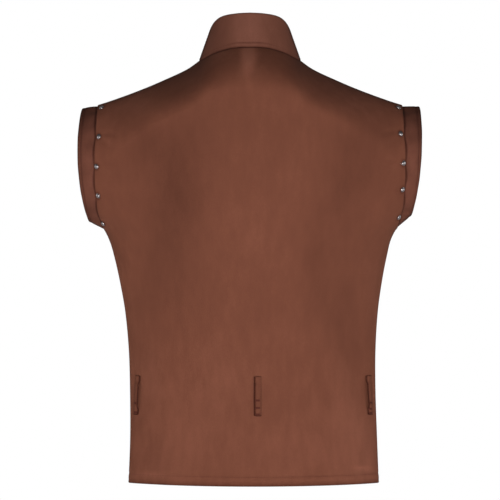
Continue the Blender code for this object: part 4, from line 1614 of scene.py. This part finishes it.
@dataclass
class ArmholeBand:
    """The band that runs out from under an armhole edge."""

    edge: BandEdge
    form: BodyForm
    back: Panel
    front: Panel
    steps: int = 22
    # Its run from the armhole edge to its free edge
    tuck: float = 0.010
    gap: float = 0.0006
    depth: float = 0.050
    bend: float = 0.45
    crown: float = 0.0040
    crown_reach: float = math.radians(26)
    straight_from: float = math.radians(125)
    straight_reach: float = math.radians(40)
    # Troughs and ridges beside the studs
    trough: float = 0.0010
    trough_width: float = 0.13
    trough_slant: float = 0.35
    trough_reach: float = 0.022
    ridge: float = 0.0007
    ridge_width: float = 0.117
    ridge_turn: float = 0.20
    # What sinks into the cloth, the painted shade along its hem and rim, and the painted shadow under the body's
    # edge
    hem_dip: Line = Line(0.0050, 0.0013, 0.0005)
    rim_dip: Line = Line(0.0, 0.0014, 0.0004)
    hem_shade: Line = Line(0.0050, 0.0013, 0.45)
    rim_shade: Line = Line(0.0, 0.0012, 0.55)
    tuck_shade: float = 0.8
    shadow_start: float = 0.0030
    shadow_width: float = 0.0034
    # Painted shade at the shoulder, under the arm and along the free edge
    top_painted_shade: float = -0.54
    top_painted_shade_rise: tuple[float, float] = (-0.132, 0.038)
    low_painted_shade: float = -0.44
    low_painted_shade_fall: tuple[float, float] = (0.205, 0.026)
    outer_painted_shade: Line = Line(0.0, 0.0095, 0.34)
    outer_top_painted_shade: float = 0.12
    outer_top_painted_shade_rise: tuple[float, float] = (-0.16, 0.05)
    nap_blotches: float = 0.10
    blotch_waves: tuple[float, float] = (5.3, 11.7)
    blotch_slant: float = 160.0
    # Worked out by build
    turns: Array = field(init=False)
    grid: ClothGrid = field(init=False)
    to_free: Array = field(init=False)

    def armhole(self, panel: Panel) -> tuple[Array, Array, Array, Array]:
        """Read a panel's armhole edge on this band's side.

        Args:
            panel: The panel.

        Returns:
            The turns, the inner edge's points, and the directions inward along the cloth and through it.
        """
        rows = panel.armhole_rows + 1
        last, before = (-1, -4) if self.edge.side is Side.LEFT else (0, 3)
        inner = panel.inner[:rows]
        inward = unit(inner[:, before] - inner[:, last])
        through = unit(inner[:, last] - panel.grid.points[:rows, last])
        return panel.turns[:rows], inner[:, last], inward, through

    def free_edge(self, turns: Array, face: Face) -> Array:
        """Find the band's free edge.

        Args:
            turns: Turns down the armhole.
            face: The back or the front half.

        Returns:
            A point for each turn.
        """
        up = (1 + np.cos(turns)) / 2
        x = mix(self.edge.low_x, self.edge.top_x, up) + self.edge.bulge * np.sin(turns) ** 2
        y = face.value * self.depth * np.sin(turns)
        return np.stack([self.edge.side.value * x, y, mix(self.edge.low_z, self.edge.top_z, up)], axis=-1)

    def sections(self) -> tuple[Array, Array]:
        """Lay the band's sections, from its tucked edge to its free one.

        Returns:
            Each column's turn down the armhole, and the points as rows, columns and x, y, z.
        """
        back, front = self.armhole(self.back), self.armhole(self.front)
        for first, second in zip(back[1:], front[1:]):
            for row in (0, -1):
                first[row] = second[row] = (first[row] + second[row]) / 2
        turns, edge, inward, through = (np.concatenate([a, b[-2:0:-1]]) for a, b in zip(back, front))
        inward, through = unit(inward), unit(through)
        halves = ((back[0], Face.BACK), (front[0][-2:0:-1], Face.FRONT))
        free = np.concatenate([self.free_edge(part, face) for part, face in halves])
        start = edge + through * self.gap
        length = np.linalg.norm(free - start, axis=1, keepdims=True)
        rounded = 1 - smooth_step(turns, self.straight_from, self.straight_reach)
        bend = mix(start + (free - start) * self.bend, start - inward * length * self.bend, rounded[:, None])
        bend[:, 2] += self.crown * bell(turns, self.crown_reach)
        rows = [start + inward * self.tuck, start + inward * self.tuck / 2]
        for t in np.linspace(0, 1, self.steps + 1):
            rows.append((1 - t) ** 2 * start + 2 * t * (1 - t) * bend + t**2 * free)
        plain = np.array(rows)
        return (turns, plain) if self.edge.side is Side.LEFT else (turns[::-1], plain[:, ::-1])

    def build(self, material: bpy.types.Material) -> None:
        """Make and dress the band.

        Args:
            material: Its cloth.
        """
        self.turns, plain = self.sections()
        normals = grid_normals(plain, 1, ring=True)
        centre = plain.reshape(-1, 3).mean(axis=0)
        outward = 1 if np.sum(normals * (plain - centre)) > 0 else -1
        normals = normals * outward
        down = run_along(plain, 0)
        self.to_free = down[-1:] - down
        cloth = plain - normals * self.puckers(down)[..., None]
        sink = self.hem_dip.over(self.to_free) + self.rim_dip.over(self.to_free)
        self.grid = ClothGrid(cloth - normals * sink[..., None], outward, ring=True)
        inner = cloth - normals * self.form.cloth
        uv = np.stack([run_along(plain, 1), self.to_free], axis=-1)
        # Painted shadow where the band runs out from under the body's edge
        under = 1 - smooth_step(down, self.tuck + self.shadow_start, self.shadow_width)
        shades = [self.tuck_shade * under, self.hem_shade.over(self.to_free), self.rim_shade.over(self.to_free)]
        crevice = np.clip(np.maximum.reduce(shades), 0, 1)
        marks = {"nap": self.nap(plain[..., 2]), "crevice": crevice}
        name = "band_" + self.edge.side.name.lower()
        piece = cloth_shell(name + "_cloth", self.grid, inner, uv, marks)
        dress(piece, material, Slot.BAND, name)

    def nap(self, z: Array) -> Array:
        """Lay painted shade at the shoulder, under the arm and along the free edge, with soft blotches of tone.

        Args:
            z: Heights.

        Returns:
            How light each point is.
        """
        top = smooth_step(z, *self.top_painted_shade_rise)
        low = smooth_step(-z, *self.low_painted_shade_fall)
        outer = self.outer_painted_shade.over(self.to_free)
        beside_top = self.outer_top_painted_shade / self.outer_painted_shade.strength * outer * smooth_step(z, *self.outer_top_painted_shade_rise)
        wide, close = self.blotch_waves
        blotches = np.sin(self.turns * wide + self.edge.side.value)
        blotches = blotches * np.sin(self.turns * close + self.to_free * self.blotch_slant)
        return self.top_painted_shade * top + self.low_painted_shade * low - outer - beside_top + self.nap_blotches * blotches

    def puckers(self, down: Array) -> Array:
        """Pull the band in soft troughs from its studs, slanted to one side and the other in turn.

        Args:
            down: How far each point is from the tucked edge.

        Returns:
            How far each point sinks.
        """
        out = np.maximum(down - self.tuck, 0)
        sink = np.zeros_like(down)
        for number, pair in enumerate(STUD_TURNS):
            slant = self.trough_slant * (1 if number % 2 else -1)
            off = self.turns - (pair.at(self.edge.side) + slant * out)
            pull = self.trough * bell(off, self.trough_width)
            pull -= self.ridge * bell(off - self.ridge_turn, self.ridge_width)
            sink += pull * bell(out, self.trough_reach)
        return sink

    def stitch_line(self) -> tuple[Array, Array]:
        """The line of stitches inside the free edge."""
        line, ups = self.grid.trace_down(self.to_free, self.hem_dip.inset)
        return np.concatenate([line, line[:1]]), np.concatenate([ups, ups[:1]])


@dataclass(frozen=True)
class BeltLoop:
    """A narrow strip sewn to the back at both ends, which a belt runs under."""

    place: LoopPlace
    width: float = 0.011
    length: float = 0.0585
    thickness: float = 0.0016
    foot: float = 0.007
    seat: float = 0.0009
    arch: float = 0.0016
    lean: float = 1.5
    steps: int = 46
    smoothing: int = 6
    far_behind: float = 0.5
    columns: tuple[float, ...] = (-0.5, -0.47, -0.42, -0.36, -0.30, -0.15, 0.0, 0.15, 0.30, 0.36, 0.42, 0.47, 0.5)
    seam_columns: tuple[int, int] = (3, 9)
    rounding: float = 0.45
    flatness: int = 6
    open_from: float = 0.26
    open_reach: float = 0.08
    open_thin: float = 0.75
    groove: Line = Line(0.33, 0.05, 0.00022)
    edge_shade: Line = Line(0.5, 0.05, 0.04)
    open_shade: float = 1.2
    low_shade: Line = Line(0.0, 0.0016, 0.7)
    end_shade: Line = Line(0.0, 0.001, 0.15)
    even_shade: float = 0.06
    # Laid a little darker all over, in the mark of painted light and shade
    nap: float = -0.12
    tack_height: float = 0.022
    tack_half: float = 0.40
    tack_threads: int = 8
    tack_points: int = 5

    def line(self, tree: BVHTree) -> tuple[Array, Array, Array, Array]:
        """Follow the loop down the back.

        Args:
            tree: The back's outer side.

        Returns:
            The middle of the strip's underside, the outward and crosswise directions there, and how far
            the strip rises over its width towards its open side.
        """
        middles, ups = [], []
        for t in np.linspace(0, 1, self.steps + 1):
            start = Vector((self.place.x + self.place.lean * t, self.far_behind, self.place.top_z - self.length * t))
            place, normal, _, _ = tree.ray_cast(start, Vector((0, -1, 0)))
            middles.append(place[:])
            ups.append(normal[:] if normal.y > 0 else (-normal)[:])
        middles, ups = np.array(middles), np.array(ups)
        for _ in range(self.smoothing):
            ups[1:-1] = unit(ups[:-2] + 2 * ups[1:-1] + ups[2:])
        across = unit(np.cross(ups, np.array([0.0, 0.0, 1.0])))
        along = self.length * np.linspace(0, 1, self.steps + 1)
        rise = smooth_step(np.minimum(along, self.length - along), self.foot, self.foot)
        height = self.seat + self.arch * rise
        return middles + ups * height[:, None], ups, across, self.lean * self.arch * rise * self.facing(across)

    def facing(self, across: Array) -> float:
        """Whether the crosswise directions point to the open side, as 1 or -1."""
        return self.place.open_side * np.sign(across[self.steps // 2, 0])

    def build(self, tree: BVHTree, material: bpy.types.Material) -> Threads:
        """Make and dress the loop.

        Args:
            tree: The back's outer side.
            material: Its cloth.

        Returns:
            The lines of stitches along its edges.
        """
        middle, ups, across, tilt = self.line(tree)
        shares = np.array(self.columns)
        out = np.abs(shares)
        opened = smooth_step(shares * self.facing(across), self.open_from, self.open_reach)
        crown = self.thickness * (1 - (out * 2) ** self.flatness * self.rounding) * (1 - self.open_thin * opened)
        over = middle[:, None] + across[:, None] * (shares * self.width)[None, :, None]
        over = over + ups[:, None] * (tilt[:, None] * shares)[..., None]
        top = over + ups[:, None] * (crown - self.groove.over(out))[None, :, None]
        grid = ClothGrid(top, 1 if np.sum(grid_normals(top, 1)[..., 1]) > 0 else -1)
        down = run_along(top, 0)
        to_low = down[-1:] - down
        uv = np.stack([run_along(top, 1), down], axis=-1)
        # Painted shade along the edges, darkest in the gap on the open side, and at the ends
        dark = (self.edge_shade.over(out) + self.open_shade * opened)[None] + self.even_shade
        dark = dark + self.end_shade.over(np.minimum(down, to_low)) + self.low_shade.over(to_low)
        marks = {"nap": np.full_like(down, self.nap), "crevice": np.clip(dark, 0, 1)}
        name = "belt_loop_" + self.place.name
        piece = cloth_shell(name + "_cloth", grid, over, uv, marks)
        dress(piece, material, Slot.CLOTH, name)
        normals = grid.normals()
        return [(top[2:-2, column], normals[2:-2, column]) for column in self.seam_columns]

    def tacks(self, tree: BVHTree) -> Threads:
        """Lay the close bars of thread that hold the loop's ends.

        Args:
            tree: The back's outer side.

        Returns:
            A short line for each thread across the loop.
        """
        middle, ups, across, tilt = self.line(tree)
        shares = np.linspace(-self.tack_half, self.tack_half, self.tack_points)[:, None]
        threads = []
        for tack in self.place.tacks:
            for t in np.linspace(tack - self.tack_height, tack + self.tack_height, self.tack_threads):
                i, part = divmod(t * self.steps, 1)
                i = int(i)
                centre = mix(middle[i], middle[i + 1], part) + ups[i] * self.thickness
                line = centre + across[i] * shares * self.width + ups[i] * tilt[i] * shares
                out = unit(ups[i] * self.width - across[i] * tilt[i])
                threads.append((line, np.tile(out, (self.tack_points, 1))))
        return threads


@dataclass(frozen=True)
class Stud:
    """A domed stud with a rolled rim."""

    radius: float = 0.0040
    height: float = 0.0024
    rim: float = 0.0005
    collar: float = 0.0036
    tuck: float = 0.97
    lift: float = 0.0001
    sharp: float = math.radians(50)
    segments: int = 28
    rings: int = 16

    def model(self) -> bpy.types.Mesh:
        """Model the stud standing on the origin.

        Returns:
            Its mesh.
        """
        sizes = {"segments": self.segments, "ring_count": self.rings, "radius": self.collar}
        made = start_shape(bpy.ops.mesh.primitive_uv_sphere_add, **sizes)
        bpy.ops.mesh.bisect(plane_co=(0, 0, 0), plane_no=(0, 0, 1), clear_inner=True, threshold=1e-7)
        bpy.ops.mesh.select_all(action="SELECT")
        resize(1, 1, (self.height - self.rim) / self.collar)
        bpy.ops.transform.translate(value=(0, 0, self.rim))
        bpy.ops.mesh.select_all(action="DESELECT")
        bpy.ops.mesh.select_non_manifold()
        # The rim's rings, each by how far it grows and the share of the rim's height that it drops
        for grow, drop in ((self.radius / self.collar * self.tuck, 0.12), (1.03, 0.38), (self.tuck, 0.50)):
            bpy.ops.mesh.extrude_region_move()
            resize(grow, grow, 1)
            bpy.ops.transform.translate(value=(0, 0, -self.rim * drop))
        bpy.ops.mesh.fill()
        bpy.ops.mesh.select_all(action="SELECT")
        bpy.ops.mesh.normals_make_consistent(inside=False)
        bpy.ops.object.mode_set(mode="OBJECT")
        mesh = made.data.copy()
        mesh.shade_smooth()
        mesh.set_sharp_from_angle(angle=self.sharp)
        bpy.data.objects.remove(made, do_unlink=True)
        return mesh

    def place(self, mesh: bpy.types.Mesh, node: str, tree: BVHTree, material: bpy.types.Material) -> None:
        """Seat a copy of the stud where its solid is.

        Args:
            mesh: The modelled stud.
            node: The solid's name.
            tree: The outer side of the cloth under it.
            material: Its metal.
        """
        centre = Vector(box_centre(node))
        spot, normal, _, _ = tree.find_nearest(centre)
        normal = normal if normal.dot(centre - spot) > 0 else -normal
        turned = normal.to_track_quat("Z", "Y").to_matrix().to_4x4()
        copy = mesh.copy()
        copy.transform(Matrix.Translation(spot + normal * self.lift) @ turned)
        dress(add_object(node + "_cap", copy), material, Slot.STEEL, node)


@dataclass(frozen=True)
class Studio:
    """Plain soft studio: pale floor, frontal soft light and the photograph's camera."""

    distance: float = 5.7
    camera_z: float = -0.2873
    frame_height: float = 0.76
    sensor: float = 36.0
    clip_end: float = 100.0
    seen_white: float = 1.0
    lit_white: float = 0.14
    floor_z: float = -1.45
    floor_radius: float = 9.0
    floor_sides: int = 96
    floor_colour: Colour = (0.86, 0.86, 0.85)
    floor_roughness: float = 0.9
    floor_glow: float = 0.62
    white: Colour = (1.0, 1.0, 1.0)

    def camera(self) -> None:
        """Set the camera square behind the back."""
        data = bpy.data.cameras.new("camera")
        data.sensor_width = self.sensor
        data.lens = self.sensor * self.distance / self.frame_height
        data.clip_end = self.clip_end
        made = add_object("camera", data)
        made.location = (0.0, self.distance, self.camera_z)
        made.rotation_euler = (math.radians(90), 0.0, math.radians(180))
        bpy.context.scene.camera = made

    def hang(self, lamp: Lamp) -> None:
        """Hang a lamp that points at the garment.

        Args:
            lamp: The lamp.
        """
        data = bpy.data.lights.new(lamp.name, "AREA")
        data.shape = "SQUARE"
        data.size = lamp.size
        data.energy = lamp.power
        made = add_object(lamp.name, data)
        made.location = (lamp.x, lamp.y, lamp.z)
        aim = Vector((0.0, 0.0, self.camera_z)) - made.location
        made.rotation_euler = aim.to_track_quat("-Z", "Y").to_euler()

    def world(self) -> None:
        """Surround the garment with white that the camera sees brighter than it lights."""
        made = bpy.data.worlds.new("studio")
        bpy.context.scene.world = made
        made.use_nodes = True
        graph = Graph(made.node_tree)
        ray = graph.add("ShaderNodeLightPath").outputs["Is Camera Ray"]
        strength = graph.add("ShaderNodeMapRange", {0: ray, 3: self.lit_white, 4: self.seen_white})
        inputs = {"Color": opaque(self.white), "Strength": strength.outputs[0]}
        graph.fill(made.node_tree.nodes["Background"], inputs)

    def floor(self) -> None:
        """Lay the pale floor well below the hem."""
        bpy.ops.object.select_all(action="DESELECT")
        sizes = {"vertices": self.floor_sides, "radius": self.floor_radius, "location": (0, 0, self.floor_z)}
        bpy.ops.mesh.primitive_circle_add(fill_type="NGON", **sizes)
        made = bpy.context.object
        made.name = "floor"
        material, graph, shader = start_material("floor")
        ray = graph.add("ShaderNodeLightPath").outputs["Is Camera Ray"]
        graph.fill(shader, {
            "Base Color": opaque(self.floor_colour),
            "Roughness": self.floor_roughness,
            "Emission Strength": graph.math("MULTIPLY", ray, self.floor_glow),
            "Emission Color": opaque(self.white),
        })
        made.data.materials.append(material)

    def build(self) -> None:
        """Set up the camera, the lamps, the surroundings and the floor."""
        self.camera()
        for lamp in LAMPS:
            self.hang(lamp)
        self.world()
        self.floor()
        view = bpy.context.scene.view_settings
        view.view_transform = "Standard"
        view.look = "None"


def main() -> None:
    """Build the garment piece by piece, then the studio."""
    logging.basicConfig(level=logging.INFO, format="%(name)s: %(message)s")
    form = BodyForm()
    nap = Nap().group()
    cloth = BrushedCloth("brushed cloth").material(nap)
    band_cloth = BrushedCloth(
        "band cloth", lying=(0.077, 0.0260, 0.0165), base=(0.155, 0.0530, 0.0335), raised=(0.287, 0.1040, 0.0700)
    ).material(nap)
    # Painted light: a greyer copy of the brushed cloth for the collar, standing in for the collar's own light and
    # sheen
    collar_cloth = BrushedCloth(
        "collar cloth", lying=(0.087, 0.0290, 0.0185), base=(0.172, 0.0625, 0.0395), raised=(0.318, 0.1240, 0.0850)
    ).material(nap)
    thread = Thread("thread").material()
    nickel = Nickel("nickel").material()
    back = Panel("back", Face.BACK, form, BACK_FOLDS, BACK_CREASES, BACK_PAINTED_LIGHT)
    fronts = {
        side: Panel(
            "front_" + side.name.lower(), Face.FRONT, form, FRONT_FOLDS, FRONT_CREASES,
            side=side, flat=(0.32, 0.68), area=0.172,
        )
        for side in Side
    }
    panels = (back, *fronts.values())
    for panel in panels:
        panel.build(cloth)
        LOG.info("%s made", panel.name)
    collar = Collar(form)
    collar.build(collar_cloth)
    LOG.info("collar made")
    bands = [ArmholeBand(edge, form, back, fronts[edge.side]) for edge in BAND_EDGES]
    for band in bands:
        band.build(band_cloth)
        LOG.info("band_%s made", band.edge.side.name.lower())
    back_tree = back.tree()
    loops = [BeltLoop(place) for place in BELT_LOOPS]
    seams = {
        "hem": [panel.hem_line() for panel in panels],
        "collar": [collar.stitch_line()],
        "bands": [band.stitch_line() for band in bands],
        "belt_loops": [line for loop in loops for line in loop.build(back_tree, cloth)],
    }
    LOG.info("belt loops made")
    for name, lines in seams.items():
        dress(Machine().sew(name + "_stitches", lines), thread, Slot.CLOTH)
    bar = Machine(pitch=0.0088, length=0.0086, thickness=0.00048)
    tacks = [line for loop in loops for line in loop.tacks(back_tree)]
    dress(bar.sew("belt_loop_tacks", tacks), thread, Slot.CLOTH)
    LOG.info("sewing made")
    stud = Stud()
    cap = stud.model()
    for side in Side:
        front_tree = fronts[side].tree()
        for number, node in enumerate(stud_nodes(side)):
            stud.place(cap, node, back_tree if number < len(STUD_TURNS) else front_tree, nickel)
    bpy.data.meshes.remove(cap)
    LOG.info("studs made")
    Studio().build()


if __name__ == "__main__":
    main()
